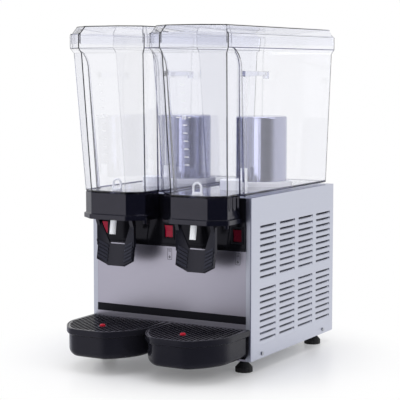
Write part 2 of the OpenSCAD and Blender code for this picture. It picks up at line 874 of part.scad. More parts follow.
module refrigerant_lines() {
    left_x = -bowl_pitch / 2;
    right_x = bowl_pitch / 2;
    far_y = drier_y + line_leg + drier_r;
    near_y = line_y + line_leg;
    front_y = drum_y - line_entry;
    back_y = drum_y + line_entry;
    hot_x = comp_x - stub_offset;
    hot_z = comp_top + line_rise;
    turn_x = cond_mid_x + line_off;
    capillary_z = under_deck - line_off;
    link_z = capillary_z - line_rise;
    cold_z = link_z - line_rise;
    color(copper) in_frame() {
        pipe([[hot_x, comp_y, comp_top], [hot_x, comp_y, hot_z], [hot_x, far_y, hot_z],
              [turn_x, far_y, hot_z], [turn_x, far_y, high_tube_z], [turn_x, near_y, high_tube_z],
              [cond_mid_x, near_y, high_tube_z], [cond_mid_x, line_y, high_tube_z]], line_r);
        pipe([[cond_mid_x, line_y, low_tube_z], [cond_mid_x, drier_y, low_tube_z],
              [cond_mid_x, drier_y, drier_z]], line_r);
        translate([cond_mid_x, drier_y, 0]) rod(drier_r, drier_z, drier_z + drier_h);
        pipe([[cond_mid_x, drier_y, drier_z + drier_h], [cond_mid_x, drier_y, capillary_z],
              [left_x, drier_y, capillary_z], [left_x, back_y, capillary_z],
              [left_x, back_y, line_end]], capillary_r);
        pipe([[left_x, front_y, line_end], [left_x, front_y, link_z], [0, front_y, link_z],
              [0, back_y, link_z], [right_x, back_y, link_z], [right_x, back_y, line_end]], line_r);
        pipe([[right_x, comp_y, comp_top], [right_x, comp_y, cold_z], [right_x, front_y, cold_z],
              [right_x, front_y, line_end]], line_r);
    }
}

control_size = [100, 90, 70];
control_y = 30;
control_gap = 10;

module control_box() {
    color(white_plastic) in_frame()
        translate([inside_half - control_gap - control_size.x, control_y, z_pan]) cube(control_size);
}

// Pump motors hang from the deck, and their magnets turn the impellers through it

magnet_h = 12;
magnet_gap = 1;
magnet_top = z_top - well_skin - magnet_gap;
motor_gap = 6;
motor_top = magnet_top - magnet_h - motor_gap;
motor_bore = 30;
post_r = 3.5;

module pump_motors() {
    color(steel_grey) for (side = [LEFT, RIGHT]) beside(side) translate([0, pump_y, 0]) {
        difference() {
            rod(motor_r, motor_top - motor_h, motor_top);
            rod(pump_pin_r + running, motor_top - motor_bore, motor_top + cut);
        }
        for (a = [0:120:240]) rotate(a + 90) translate([motor_r, 0, 0])
            rod(post_r, motor_top - motor_h / 2, under_deck);
    }
}

module drive_magnet(side) {
    color(steel_grey) beside(side) translate([0, pump_y, 0]) {
        rod(magnet_r, magnet_top - magnet_h, magnet_top);
        rod(pump_pin_r, motor_top - motor_bore + magnet_gap, magnet_top - cut);
    }
}

module cooling_drum(side) {
    top = z_top + drum_h;
    color(steel_grey) beside(side) translate([0, drum_y, 0]) rotate_extrude() polygon(concat(
        [[drum_r - sheet_t, z_top], [drum_r, z_top]],
        [for (a = [0:10:90]) [drum_r, top] - drum_edge * [1 - cos(a), 1 - sin(a)]],
        [[0, top], [0, top - sheet_t], [drum_r - drum_edge, top - sheet_t],
         [drum_r - sheet_t, top - drum_edge]]));
}

seal_bevel = 3;

module drum_seal(side) {
    color(white_plastic) beside(side) translate([0, drum_y, 0]) rotate_extrude()
        polygon([[drum_r + running, z_top], [seal_r, z_top], [seal_r, z_top + seal_h - seal_bevel],
                 [seal_r - seal_bevel, z_top + seal_h], [drum_r + running, z_top + seal_h]]);
}

// Bowls

// Chamfer leg, nose reach, rear half width and rear end, at the bottom and top of the body and on the
// collar, which swells a little behind its step
collar_swell = 0.5;
collar_half = (bowl_pitch - collar_gap) / 2;
cham_collar = collar_half - collar_swell - nose_flat / 2;
cham_high = cham_collar - flare_out;
cham_low = cham_high - nose_taper;
rear_half_high = collar_half - rear_in;
rear_half_low = rear_half_high - rear_taper;
body_low = [cham_low, nose_low, rear_half_low, rear_low];
body_high = [cham_high, nose_high, rear_half_high, rear_high];
collar = [cham_collar, nose_collar, collar_half, rear_collar];

// Half width of the flat nose front of an outline drawn in by w
chamfer_turn = tan(atan(cham_ratio) / 2);

function front_points(flat, cham, reach, w) =
    let (f = flat - w * chamfer_turn, h = flat + cham - w, y = -reach + w, back = y + (h - f) * cham_ratio)
    [[-h, back], [-f, y], [f, y], [h, back]];

function rear_points(half, rear, w) =
    let (h = half - w, y = rear - w, r = max(rear_corner - w, 1))
    concat([[h, y - r]], corner_arc([h, y - r], [h - r, y], r, 5), [[h - r, y]],
           [[-h + r, y]], corner_arc([-h + r, y], [-h, y - r], r, 5), [[-h, y - r]]);

// Whole outline, with the small slanted step between nose and rear body on each side
step_slant = 2;
function full_outline(v, step, w) =
    let (
        p = front_points(nose_flat / 2, v[0], v[1], w),
        nose_half = p[3].x,
        rear_half = v[2] - w,
        y1 = w - step,
        y0 = y1 - step_slant
    )
    concat(p, [[nose_half, y0], [rear_half, y1]], rear_points(v[2], v[3], w),
           [[-rear_half, y1], [-nose_half, y0]]);

// The step leans forward with height and ends in an arch just behind the collar's corner
corner_clear = 12;
arch_end = nose_collar - cham_collar * cham_ratio - corner_clear;
z_arch = z_collar - arch_h;
function lean(z) = mix(step_low, step_high, (z - z_bowl) / bowl_body_h);
function step_at(z) =
    let (s = max(z - z_arch, 0) / arch_h)
    mix(lean(min(z, z_arch)), arch_end, 1 - sqrt(1 - s * s));

function body_outline(z, w) =
    let (v = z < z_flare ? mix(body_low, body_high, (z - z_bowl) / bowl_body_h)
                         : mix(body_high, collar, (z - z_flare) / flare_h))
    full_outline(v, step_at(z), w);
function collar_outline(w) = full_outline(collar, arch_end, w);
function dome_outline(w) = full_outline(collar - [0, dome_front, 0, 0], arch_end, w);

// Heights of the outlines that carry the arch
arch_share = 0.6;
arch_list = [
    z_arch, mix(z_arch, z_flare, arch_share), z_flare, mix(z_flare, z_collar, arch_share)
];
arch_count = len(arch_list);

// The bowl's wall and floor, up the outside and down the inside
module bowl_shell() {
    up = concat(z_bowl, arch_list);
    down = concat([for (i = [1:arch_count]) arch_list[arch_count - i]], z_floor);
    inner = collar_outline(bowl_wall);
    loft(concat([for (z = up) body_outline(z, 0)], [collar_outline(0), collar_outline(0), inner, inner],
                [for (z = down) body_outline(z, bowl_wall)]),
         concat(up, [z_collar, z_rim, z_rim, z_collar], down));
}

rib_inset = 14;
rib_x = rear_half_low - rib_inset;
rib_t = 4;
rib_front = 20;
rib_back = 22;
rib_rear = rear_low - rib_back;
seal_gap = 0.3;
impeller_lift = 0.5;

module bowl(side) {
    color(clear_plastic) beside(side) difference() {
        union() {
            bowl_shell();
            for (x = [-1, 1]) translate([x * rib_x, 0, 0])
                slab([-rib_t / 2, rib_front, z_top], [rib_t / 2, rib_rear, z_bowl + cut]);
            translate([0, pump_y, 0]) rod(pump_pin_r, z_floor - cut, z_floor + impeller_lift + impeller_h);
        }
        translate([0, drum_y, 0]) rod(seal_r + seal_gap, z_top - cut, z_floor + cut);
        translate([0, -valve_front, 0]) rod(outlet_r, z_bowl - cut, z_floor + cut);
    }
}

// A lid's skirt hangs in the collar, its flange lies on the rim and its top draws in
skirt_in = bowl_wall + skirt_gap;

module lid(side) {
    outer = collar_outline(skirt_in);
    inner = collar_outline(skirt_in + lid_wall);
    flange = collar_outline(flange_in);
    z_seat = z_rim + lid_wall;
    z_lid = z_seat + dome_h;
    color(clear_plastic) beside(side) difference() {
        union() {
            loft([outer, outer, dome_outline(skirt_in + dome_in)], [z_rim - skirt_h, z_seat, z_lid]);
            loft([flange, flange], [z_rim, z_seat]);
        }
        loft([inner, inner, dome_outline(skirt_in + lid_wall + dome_in)],
             [z_rim - skirt_h - cut, z_seat, z_lid - lid_wall]);
    }
}

// Taps

nose_rear = -panel_face - gap;
boss_t = 6;
pivot_drop = 18.3;
pivot_z = z_bowl - chamber_h - pivot_drop;
pivot_front = valve_front + lift_arm;
pivot_r = 3;
hub_r = 7;
arm_t = 8;
lift_bar_r = 3;
stem_head_h = 3;
stem_head_r = 3.4;
stem_bottom = pivot_z + lift_bar_r + gap;
hub_inset = 2;
hub_out = paddle_mid + wing_w * cos(wing_angle) - hub_inset;
boss_in = hub_out + gap;
boss_edge = 2;
// The trunnions end in blind holes that leave this much of the boss
boss_back = 1;
trunnion_l = boss_t - boss_back;
fix_boss_r = 5.5;
fix_boss_h = 11;
fix_boss_x = 55;
fix_boss_front = 30;
// Room in the cover's bottom around the nozzle and around the arms as they swing
arm_room = 3;
arm_back = 20;
swing_room = arm_back + (pivot_z - z_brim) * sin(lever_swing);

function cover_outline(w) =
    let (p = front_points(nose_flat / 2, cham_low, nose_low, w), y = nose_rear - max(w, 0))
    concat(p, [[p[3].x, y], [p[0].x, y]]);

module cover_prism(w, z0, z1) {
    translate([0, 0, z0]) linear_extrude(z1 - z0) polygon(cover_outline(w));
}

module nose_cover(side) {
    boss_half = hub_r + boss_edge;
    plate_top = z_brim + nose_wall;
    color(black_plastic) beside(side) difference() {
        union() {
            difference() {
                union() {
                    cover_prism(0, z_brim, z_bowl);
                    cover_prism(-brim_out, z_brim, z_brim + brim_h);
                }
                cover_prism(nose_wall, plate_top, z_bowl + cut);
            }
            for (x = [-1, 1]) {
                translate([x * (boss_in + boss_t / 2), -pivot_front, 0])
                    slab([-boss_t / 2, -boss_half, z_brim], [boss_t / 2, boss_half, pivot_z + hub_r]);
                translate([x * fix_boss_x, -fix_boss_front, 0])
                    rod(fix_boss_r, z_brim - fix_boss_h, z_brim + cut);
            }
        }
        for (x = [-1, 1]) translate([x * boss_in, -pivot_front, pivot_z])
            cross_rod(pivot_r + running, 2 * trunnion_l);
        slab([-hub_out - gap / 2, -pivot_front - hub_r - arm_room, z_brim - cut],
             [hub_out + gap / 2, -pivot_front + swing_room, plate_top + cut]);
    }
}

chamber_wall = 3;
chamber_floor = 4;
chamber_low = z_bowl - chamber_h;
nozzle_offset = 9;
nozzle_wall = 3;

module along_nozzle(r, l0, l1) {
    translate([0, -valve_front - nozzle_offset, chamber_low + chamber_floor])
        rotate([-nozzle_tilt, 0, 0]) rod(r, -l1, -l0);
}

module tap_body(side) {
    color(white_plastic) beside(side) difference() {
        union() {
            translate([0, -valve_front, 0]) rod(chamber_r + chamber_wall, chamber_low, z_bowl);
            along_nozzle(nozzle_r, 0, nozzle_l);
        }
        translate([0, -valve_front, 0]) {
            rod(chamber_r, chamber_low + chamber_floor, z_bowl + cut);
            rod(stem_r + running, chamber_low - cut, z_bowl);
        }
        along_nozzle(nozzle_r - nozzle_wall, -cut, nozzle_l + cut);
    }
}

// The plunger's stem carries a spring flange in the chamber, and a seal and a pull loop in the bowl
seal_disc_h = 3.3;
seal_lap = 3;
seal_disc_r = outlet_r + seal_lap;
loop_r = 9;
loop_wire = 2.2;
loop_leg = 10;
cap_h = 2;
cap_inset = 1;
spider_gap = 1;
spider_r = chamber_r - spider_gap;
spider_h = 2.5;
spider_z = chamber_low + chamber_floor + 2 * spider_gap;
spider_hole_r = 2;

module valve_plunger(side) {
    cap_z = z_floor + seal_disc_h;
    loop_z = cap_z + cap_h + loop_leg;
    hole_at = (stem_r + spider_r) / 2 - spider_gap;
    color(white_plastic) beside(side) translate([0, -valve_front, 0]) {
        rod(stem_head_r, stem_bottom, stem_bottom + stem_head_h);
        rod(stem_r, stem_bottom, cap_z + cap_h / 2);
        difference() {
            rod(spider_r, spider_z, spider_z + spider_h);
            for (a = [45:90:315]) rotate(a) translate([hole_at, 0, 0])
                rod(spider_hole_r, spider_z - cut, spider_z + spider_h + cut);
        }
        rod(seal_disc_r - cap_inset, cap_z, cap_z + cap_h);
        for (x = [-1, 1]) translate([x * loop_r, 0, 0]) rod(loop_wire, cap_z + cap_h / 2, loop_z);
        translate([0, 0, loop_z]) rotate([90, 0, 0]) rotate_extrude(angle = 180)
            translate([loop_r, 0]) circle(loop_wire);
    }
}

module valve_seal(side) {
    color(white_plastic) beside(side) translate([0, -valve_front, 0])
        ring(stem_r + running, seal_disc_r, z_floor, z_floor + seal_disc_h);
}

// Valve spring: one unbroken tube of six sides along a helix with eight rings to a turn
spring_r = (outlet_r + chamber_r) / 2;
spring_low = spider_z + spider_h + gap / 2 + spring_wire / 2;
spring_high = z_bowl - gap / 2 - spring_wire / 2;
rings_per_turn = 8;
spring_rings = rings_per_turn * spring_turns;
spring_sides = 6;

function spring_out(k) = let (a = 360 * k / rings_per_turn) [cos(a), sin(a), 0];
function spring_centre(k) =
    spring_r * spring_out(k) + [0, 0, mix(spring_low, spring_high, k / spring_rings)];

function spring_ring(k) =
    let (out = spring_out(k))
    [for (i = [0:spring_sides - 1]) let (b = 360 * i / spring_sides)
        spring_centre(k) + spring_wire / 2 * (cos(b) * out - sin(b) * [0, 0, 1])];

echo(least_gap_between_spring_turns = min([for (k = [0:spring_rings - rings_per_turn])
    norm(spring_centre(k + rings_per_turn) - spring_centre(k)) - spring_wire]));

module valve_spring(side) {
    color(steel_grey) beside(side) translate([0, -valve_front, 0])
        tube([for (k = [0:spring_rings]) spring_ring(k)]);
}

// Lever: two arms on trunnions, a bar that lifts the plunger, and a paddle of three faces
paddle_top = z_brim - paddle_drop;
paddle_lead = 2;
paddle_front = valve_front + paddle_lead;
paddle_lap = 1;
wing_rise = 12;
wing_step = 2;
arm_w = 8;
arm_drop = 5.5;
arm_top = z_brim - arm_drop;
arm_root = 10;
arm_foot = 3;

// A flat piece of the lever: outline in width and height, thickness forward
module lever_plate(outline) {
    rotate([90, 0, 0]) linear_extrude(lever_t) polygon(outline);
}

module wing(x, outline) {
    mirror([x < 0 ? 1 : 0, 0, 0]) translate([paddle_mid, 0, 0]) rotate([0, 0, -wing_angle])
        lever_plate(outline);
}

module lever(side) {
    rear = lever_t - paddle_front;
    arm_h = arm_top - paddle_top;
    mid = paddle_mid + paddle_lap;
    low_w = wing_w - wing_step;
    color(black_plastic) beside(side) {
        translate([0, rear, paddle_top]) {
            rotate([-paddle_tilt, 0, 0]) {
                lever_plate([[-mid, -paddle_h], [mid, -paddle_h], [mid, paddle_lap], [-mid, paddle_lap]]);
                for (x = [-1, 1])
                    wing(x, [[0, -paddle_h], [low_w, wing_rise - paddle_h],
                             [low_w, paddle_lap], [0, paddle_lap]]);
            }
            for (x = [-1, 1])
                wing(x, [[0, -wing_step], [wing_w, -wing_step], [wing_w, arm_h],
                         [wing_w - arm_w, arm_h], [0, 0]]);
        }
        for (x = [-1, 1]) translate([x * (hub_out - arm_t / 2), 0, 0]) {
            hull() {
                translate([0, -pivot_front, pivot_z]) cross_rod(hub_r, arm_t, $fn = 32);
                translate([0, -paddle_front - arm_t, arm_top - arm_root])
                    slab([-arm_t / 2, 0, 0], [arm_t / 2, arm_root, arm_foot]);
            }
            translate([0, 0, pivot_z])
                slab([-arm_t / 2, -pivot_front, -lift_bar_r], [arm_t / 2, -valve_front, lift_bar_r]);
            translate([x * (arm_t + trunnion_l) / 2, -pivot_front, pivot_z])
                cross_rod(pivot_r, trunnion_l);
        }
        translate([0, -valve_front, pivot_z]) cross_rod(lift_bar_r, 2 * hub_out);
    }
}

// Pump cover, impeller and spray tube

cover_r = impeller_r + impeller_gap + cover_wall;
cover_top = z_floor + impeller_lift + impeller_h + impeller_gap + cover_wall;
socket_wall = 1.6;
socket_r = spray_r + socket_wall;
socket_top = z_floor + socket_h;
socket_depth = 14;
duct_r = spray_r - spray_wall;
duct_floor = 3;
inlet_slots = 8;
inlet_w = 3;
inlet_from = impeller_r * 0.4;
inlet_to = impeller_r * 0.85;

module pump_cover(side) {
    color(white_plastic) beside(side) difference() {
        union() {
            translate([0, pump_y, 0]) rod(cover_r, z_floor, cover_top);
            slab([-socket_r, pump_y, z_floor], [socket_r, riser_y, cover_top]);
            translate([0, riser_y, 0]) rod(socket_r, z_floor, socket_top);
        }
        translate([0, pump_y, 0]) {
            rod(cover_r - cover_wall, z_floor - cut, cover_top - cover_wall);
            for (i = [0:inlet_slots - 1]) rotate(360 * (i + 0.5) / inlet_slots)
                slab([inlet_from, -inlet_w / 2, z_floor], [inlet_to, inlet_w / 2, cover_top + cut]);
        }
        slab([-duct_r, pump_y, z_floor + duct_floor], [duct_r, riser_y, cover_top - cover_wall]);
        translate([0, riser_y, 0]) {
            rod(duct_r, z_floor + duct_floor, socket_top);
            rod(spray_r + running, socket_top - socket_depth, socket_top + cut);
        }
    }
}

impeller_disc = 3;
impeller_hub = 4;
impeller_blades = 6;
impeller_blade_t = 2;

module impeller(side) {
    low = z_floor + impeller_lift;
    color(white_plastic) beside(side) translate([0, pump_y, 0]) difference() {
        union() {
            rod(impeller_r, low, low + impeller_disc);
            rod(pump_pin_r + impeller_hub, low, low + impeller_h);
            for (i = [0:impeller_blades - 1]) rotate(i * 360 / impeller_blades)
                slab([pump_pin_r + impeller_hub / 2, -impeller_blade_t / 2, low],
                     [impeller_r - impeller_blade_t, impeller_blade_t / 2, low + impeller_h]);
        }
        rod(pump_pin_r + running, low - cut, low + impeller_h + cut);
    }
}

module spray_path(r, extra) {
    z0 = socket_top - socket_depth + cut;
    z1 = z_floor + arm_h;
    y1 = riser_y + arm_reach;
    translate([0, riser_y, 0]) rod(r, z0 - extra, z1 - spray_bend);
    translate([0, riser_y + spray_bend, z1 - spray_bend]) rotate([90, 0, 90]) rotate([0, 0, 90])
        rotate_extrude(angle = 90) translate([spray_bend, 0]) circle(r);
    translate([0, riser_y + spray_bend, z1]) rotate([-90, 0, 0])
        cylinder(r = r, h = arm_reach - 2 * spray_bend);
    translate([0, y1 - spray_bend, z1 - spray_bend]) rotate([90, 0, 90])
        rotate_extrude(angle = 90) translate([spray_bend, 0]) circle(r);
    translate([0, y1, 0]) rod(r, z1 - spray_bend - outlet_l - extra, z1 - spray_bend);
}

module spray_tube(side) {
    color(clear_plastic) beside(side) difference() {
        spray_path(spray_r, 0);
        spray_path(spray_r - spray_wall, cut);
    }
}

// Drip trays

tray_seat = 0.3;
tray_half = (bowl_pitch - tray_gap) / 2;
tray_side = tray_half - tray_narrow;
tray_flat = tray_side - tray_round;

function tray_outline(w, rear_w) =
    let (
        back = -tray_seat - rear_w,
        rear_l = [-tray_half + w, back],
        side_l = [-tray_side + w, -tray_side_y],
        flat_l = [-tray_flat + w / 2, -tray_reach + w],
        side_r = [-side_l.x, side_l.y],
        flat_r = [-flat_l.x, flat_l.y]
    )
    concat([rear_l, side_l], corner_arc(side_l, flat_l, tray_corner - w, 9), [flat_l, flat_r],
           corner_arc(flat_r, side_r, tray_corner - w, 9), [side_r, [-rear_l.x, back]]);

module tray_prism(w, rear_w, z0, z1) {
    translate([0, 0, z0]) linear_extrude(z1 - z0) polygon(tray_outline(w, rear_w));
}

z_tray_low = z_tray - tray_h;
z_ledge = z_tray - grid_t;
rear_ledge = 2;
tray_floor = z_tray_low + tray_wall;
float_pin_r = 2;
float_pin_top = tray_floor + float_rise + 10;

module drip_tray(side) {
    color(black_plastic) beside(side) {
        difference() {
            union() {
                tray_prism(0, 0, z_tray - rim_h, z_tray);
                tray_prism(rim_step, 0, z_tray_low, z_tray - rim_h + cut);
            }
            tray_prism(rim_step + tray_wall, tray_wall + rear_ledge, tray_floor, z_tray + cut);
            tray_prism(tray_wall, tray_wall, z_ledge, z_tray + cut);
        }
        translate([0, -float_front, 0]) rod(float_pin_r, tray_floor - cut, float_pin_top);
        for (x = [-hook_x, hook_x]) translate([x, inside_front, hook_z]) {
            slab([-hook_w / 2, -inside_front - tray_wall, -hook_t], [hook_w / 2, hook_lip_t, 0]);
            slab([-hook_w / 2, 0, -hook_t - hook_lip], [hook_w / 2, hook_lip_t, 0]);
        }
    }
}

grid_rim = 4;
grid_gap = 0.4;
grid_ribs = 3;
button_ring = 3;

module drip_grid(side) {
    inset = tray_wall + grid_gap;
    bars = ceil(tray_half / grid_pitch);
    color(black_plastic) beside(side) translate([0, 0, z_ledge]) linear_extrude(grid_t) difference() {
        union() {
            difference() {
                polygon(tray_outline(inset, inset));
                polygon(tray_outline(inset + grid_rim, inset + grid_rim));
            }
            intersection() {
                polygon(tray_outline(inset, inset));
                union() {
                    for (i = [-bars:bars]) translate([i * grid_pitch - grid_bar / 2, -tray_reach])
                        square([grid_bar, tray_reach]);
                    for (i = [1:grid_ribs]) translate([-tray_half, -tray_reach * i / (grid_ribs + 1)])
                        square([2 * tray_half, grid_bar]);
                }
            }
            translate([0, -float_front]) circle(button_r + gap + button_ring);
        }
        translate([0, -float_front]) circle(button_r + gap);
    }
}

float_disc_r = 16;
float_disc_h = 14;
button_step = 1;
button_top = 2;

module float(side) {
    low = tray_floor + gap;
    color(red_plastic) beside(side) translate([0, -float_front, 0]) difference() {
        union() {
            rod(float_disc_r, low, low + float_disc_h);
            rod(button_r - button_step, low, z_tray);
            rod(button_r, z_ledge, z_tray + button_top);
            translate([0, 0, z_tray + button_top])
                cylinder(r1 = button_r, r2 = button_r - button_top, h = button_top);
        }
        rod(float_pin_r + running, low - cut, float_pin_top + 2 * gap);
    }
}

base_pan();
side_panel(LEFT);  // left_side_panel
side_panel(RIGHT);  // right_side_panel
front_panel();
tap_panel();
trim_strip();
top_deck();
rear_panel();
feet();
panel_screws();
compressor();
compressor_grommets();
condenser();
fan_bracket();
fan_motor();
fan_blade();
refrigerant_lines();
control_box();
thermostat();
thermostat_knob();
cable_gland();
switch_housings();
rocker(LEFT);  // left_rocker
rocker(MIDDLE);  // middle_rocker
rocker(RIGHT);  // right_rocker
pump_motors();
drive_magnet(LEFT);  // left_drive_magnet
drive_magnet(RIGHT);  // right_drive_magnet
cooling_drum(LEFT);  // left_cooling_drum
cooling_drum(RIGHT);  // right_cooling_drum
drum_seal(LEFT);  // left_drum_seal
drum_seal(RIGHT);  // right_drum_seal
bowl(LEFT);  // left_bowl
bowl(RIGHT);  // right_bowl
nose_cover(LEFT);  // left_nose_cover
nose_cover(RIGHT);  // right_nose_cover
tap_body(LEFT);  // left_tap_body
tap_body(RIGHT);  // right_tap_body
pump_cover(LEFT);  // left_pump_cover
pump_cover(RIGHT);  // right_pump_cover
spray_tube(LEFT);  // left_spray_tube
spray_tube(RIGHT);  // right_spray_tube
lid(LEFT);  // left_lid
lid(RIGHT);  // right_lid
lever(LEFT);  // left_lever
lever(RIGHT);  // right_lever
valve_plunger(LEFT);  // left_valve_plunger
valve_plunger(RIGHT);  // right_valve_plunger
valve_seal(LEFT);  // left_valve_seal
valve_seal(RIGHT);  // right_valve_seal
valve_spring(LEFT);  // left_valve_spring
valve_spring(RIGHT);  // right_valve_spring
impeller(LEFT);  // left_impeller
impeller(RIGHT);  // right_impeller
drip_tray(LEFT);  // left_drip_tray
drip_tray(RIGHT);  // right_drip_tray
drip_grid(LEFT);  // left_drip_grid
drip_grid(RIGHT);  // right_drip_grid
float(LEFT);  // left_float
float(RIGHT);  // right_float
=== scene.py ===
# %% [markdown]
# # A twin-bowl cold drink dispenser
# The machine stands on four small feet: a steel cabinet with a cooling unit, two clear bowls over it,
# and a lever tap and a drip tray in front of each bowl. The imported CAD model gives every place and
# every size. This lesson dresses it: it keeps the CAD pieces whose shape is already right, and builds
# finer ones for the pieces that the eye rests on.

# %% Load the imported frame
import json

import bmesh
import bpy
import numpy as np
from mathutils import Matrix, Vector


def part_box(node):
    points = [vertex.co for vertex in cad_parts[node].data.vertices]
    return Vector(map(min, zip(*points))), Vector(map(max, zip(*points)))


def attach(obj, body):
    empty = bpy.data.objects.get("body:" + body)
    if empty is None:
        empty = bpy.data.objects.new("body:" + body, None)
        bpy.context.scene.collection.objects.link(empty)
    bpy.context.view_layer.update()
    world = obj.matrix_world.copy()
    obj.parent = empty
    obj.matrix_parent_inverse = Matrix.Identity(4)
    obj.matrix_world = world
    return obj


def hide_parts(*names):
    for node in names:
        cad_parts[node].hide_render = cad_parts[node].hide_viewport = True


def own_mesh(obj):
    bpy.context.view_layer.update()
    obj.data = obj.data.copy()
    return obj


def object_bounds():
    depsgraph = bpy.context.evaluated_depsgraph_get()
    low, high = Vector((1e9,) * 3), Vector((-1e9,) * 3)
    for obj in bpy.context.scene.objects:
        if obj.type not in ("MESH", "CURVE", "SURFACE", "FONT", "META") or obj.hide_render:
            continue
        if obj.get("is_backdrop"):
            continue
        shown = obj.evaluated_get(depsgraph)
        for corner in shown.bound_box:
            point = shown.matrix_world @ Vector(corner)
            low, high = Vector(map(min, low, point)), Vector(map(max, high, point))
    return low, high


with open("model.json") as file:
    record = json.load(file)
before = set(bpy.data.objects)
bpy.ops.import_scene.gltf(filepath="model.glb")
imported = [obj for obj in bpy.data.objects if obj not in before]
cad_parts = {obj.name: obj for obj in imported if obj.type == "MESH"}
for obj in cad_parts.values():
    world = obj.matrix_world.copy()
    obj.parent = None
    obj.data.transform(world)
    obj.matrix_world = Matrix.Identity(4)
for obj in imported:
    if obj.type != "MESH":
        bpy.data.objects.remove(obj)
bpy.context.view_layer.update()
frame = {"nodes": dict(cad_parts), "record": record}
MM = 0.001
SIDES = ("left", "right")


def in_scene(name, data):
    """A new object at the origin of the scene."""
    thing = bpy.data.objects.new(name, data)
    bpy.context.scene.collection.objects.link(thing)
    return thing


# %% [markdown]
# ## Camera
# The photograph was taken from the front right, a little above the bowls' middle, with a long lens.
# The lens, the turn and the tilt below were worked out from the cabinet's corners and the bowls' edges.

# %% Camera
CAMERA_TURN, CAMERA_TILT = np.radians(29.54), np.radians(5.55)
lens = bpy.data.cameras.new("camera")
lens.lens, lens.sensor_width, lens.clip_end = 122.98, 36.0, 60.0
camera = in_scene("camera", lens)
camera.location = (1.4378, -2.5321, 0.6176)
camera.rotation_euler = (np.pi / 2 - CAMERA_TILT, 0.0, CAMERA_TURN)
bpy.context.scene.camera = camera
bpy.context.scene.view_settings.view_transform = "Standard"
print("camera at", tuple(camera.location))

# %% [markdown]
# ## Colours and nodes
# A screen colour is written in sRGB, and shading is worked out in linear light, so one function turns
# a hex value into linear numbers. A second small function adds a shader node, sets its values and links it.

# %% Helpers for materials
WHITE = (1.0, 1.0, 1.0, 1.0)


def linear(code):
    """sRGB hex to linear RGBA: each channel c becomes c/12.92 below 0.04045, else ((c+0.055)/1.055)^2.4."""
    c = np.array([int(code[i:i + 2], 16) for i in (1, 3, 5)]) / 255.0
    c = np.where(c <= 0.04045, c / 12.92, ((c + 0.055) / 1.055) ** 2.4)
    return (*c.tolist(), 1.0)


def add(tree, kind, inputs=None, **settings):
    """Adds a shader node; settings are its own options. Inputs are values, sockets or nodes to link from, by
    socket name or number, and a node stands for its first output."""
    node = tree.nodes.new("ShaderNode" + kind)
    for name, value in settings.items():
        setattr(node, name, value)
    for key, value in (inputs or {}).items():
        source = value.outputs[0] if isinstance(value, bpy.types.Node) else value
        if isinstance(source, bpy.types.NodeSocket):
            tree.links.new(source, node.inputs[key])
        else:
            node.inputs[key].default_value = source
    return node


def new_material(name, **values):
    """A material with one Principled shader, its constant values set on the shader's own sockets."""
    material = bpy.data.materials.new(name)
    material.use_nodes = True
    shader = material.node_tree.nodes["Principled BSDF"]
    for key, value in values.items():
        shader.inputs[key.replace("_", " ")].default_value = value
    return material, material.node_tree, shader


print("white is", linear("#ffffff"))

# %% [markdown]
# ## Stage
# A plain white floor and white surroundings, as in a catalogue picture. The floor is shaded near the
# object, where its shadow and a faint reflection lie, and turns to plain white further out, so that no
# horizon shows: a white glow is mixed in with distance from the object, and the little of it that lies near
# the object is painted light over the floor's shadow. The world is white to the eye. To mirrors and through
# clear plastic, two of its sides are dimmer, as a studio's are: they give black plastic its deep tone and
# clear plastic part of its dark edges; the rest of those edges is painted shade on the clear pieces.

# %% Dim sides of the studio
# Direction over the floor, its product where the fall starts and ends, and the tone there
DIM_SIDES = (((0.588, -0.809, 0.0), 0.45, 0.93, (0.05, 0.055, 0.11, 1.0)),
             ((-0.98, -0.2, 0.0), 0.72, 0.98, (0.50, 0.51, 0.58, 1.0)))


def dimmed(tree, direction):
    """Colour of the surroundings in a mirror: white all round, with a soft fall to a dim side's tone where
    the product of the level direction and the unit vector to that side goes from start to stop."""
    level = add(tree, "VectorMath", {0: direction, 1: (1.0, 1.0, 0.0)}, operation="MULTIPLY")
    level = add(tree, "VectorMath", {0: level}, operation="NORMALIZE")
    shade = WHITE
    for side, start, stop, tone in DIM_SIDES:
        ahead = add(tree, "VectorMath", {0: level, 1: side}, operation="DOT_PRODUCT").outputs["Value"]
        fall = add(tree, "MapRange", {"Value": ahead, 1: start, 2: stop}, interpolation_type="SMOOTHSTEP")
        shade = add(tree, "Mix", {0: fall, 6: shade, 7: tone}, data_type="RGBA").outputs[2]
    return shade


print(len(DIM_SIDES), "dim sides")

# %% Floor
# Distance in metres where the floor starts and ends to turn white, and the share of a white glow at both; the
# share of 0.15 near the object is painted light that lightens the floor's shadow
FLOOR_FADE = {1: 0.20, 2: 0.50, 3: 0.15, 4: 1.0}
floor = in_scene("floor", bpy.data.meshes.new("floor"))
floor.data.from_pydata([(-20, -20, 0), (20, -20, 0), (20, 20, 0), (-20, 20, 0)], [], [(0, 1, 2, 3)])
floor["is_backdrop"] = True
paint, tree, shader = new_material("white studio floor", Roughness=0.28, Base_Color=linear("#f4f4f6"))
place = add(tree, "TexCoord").outputs["Object"]
away = add(tree, "VectorMath", {0: place}, operation="LENGTH").outputs["Value"]
fade = add(tree, "MapRange", {"Value": away, **FLOOR_FADE}, interpolation_type="SMOOTHSTEP")
ray = add(tree, "LightPath").outputs
seen = add(tree, "Math", {0: ray["Is Camera Ray"], 1: ray["Is Glossy Ray"]}, operation="MAXIMUM")
seen = add(tree, "Math", {0: seen, 1: ray["Is Transmission Ray"]}, operation="MAXIMUM")
outwards = add(tree, "VectorMath", {0: place}, operation="NORMALIZE")
shade = add(tree, "Mix", {0: ray["Is Camera Ray"], 6: dimmed(tree, outwards), 7: WHITE}, data_type="RGBA")
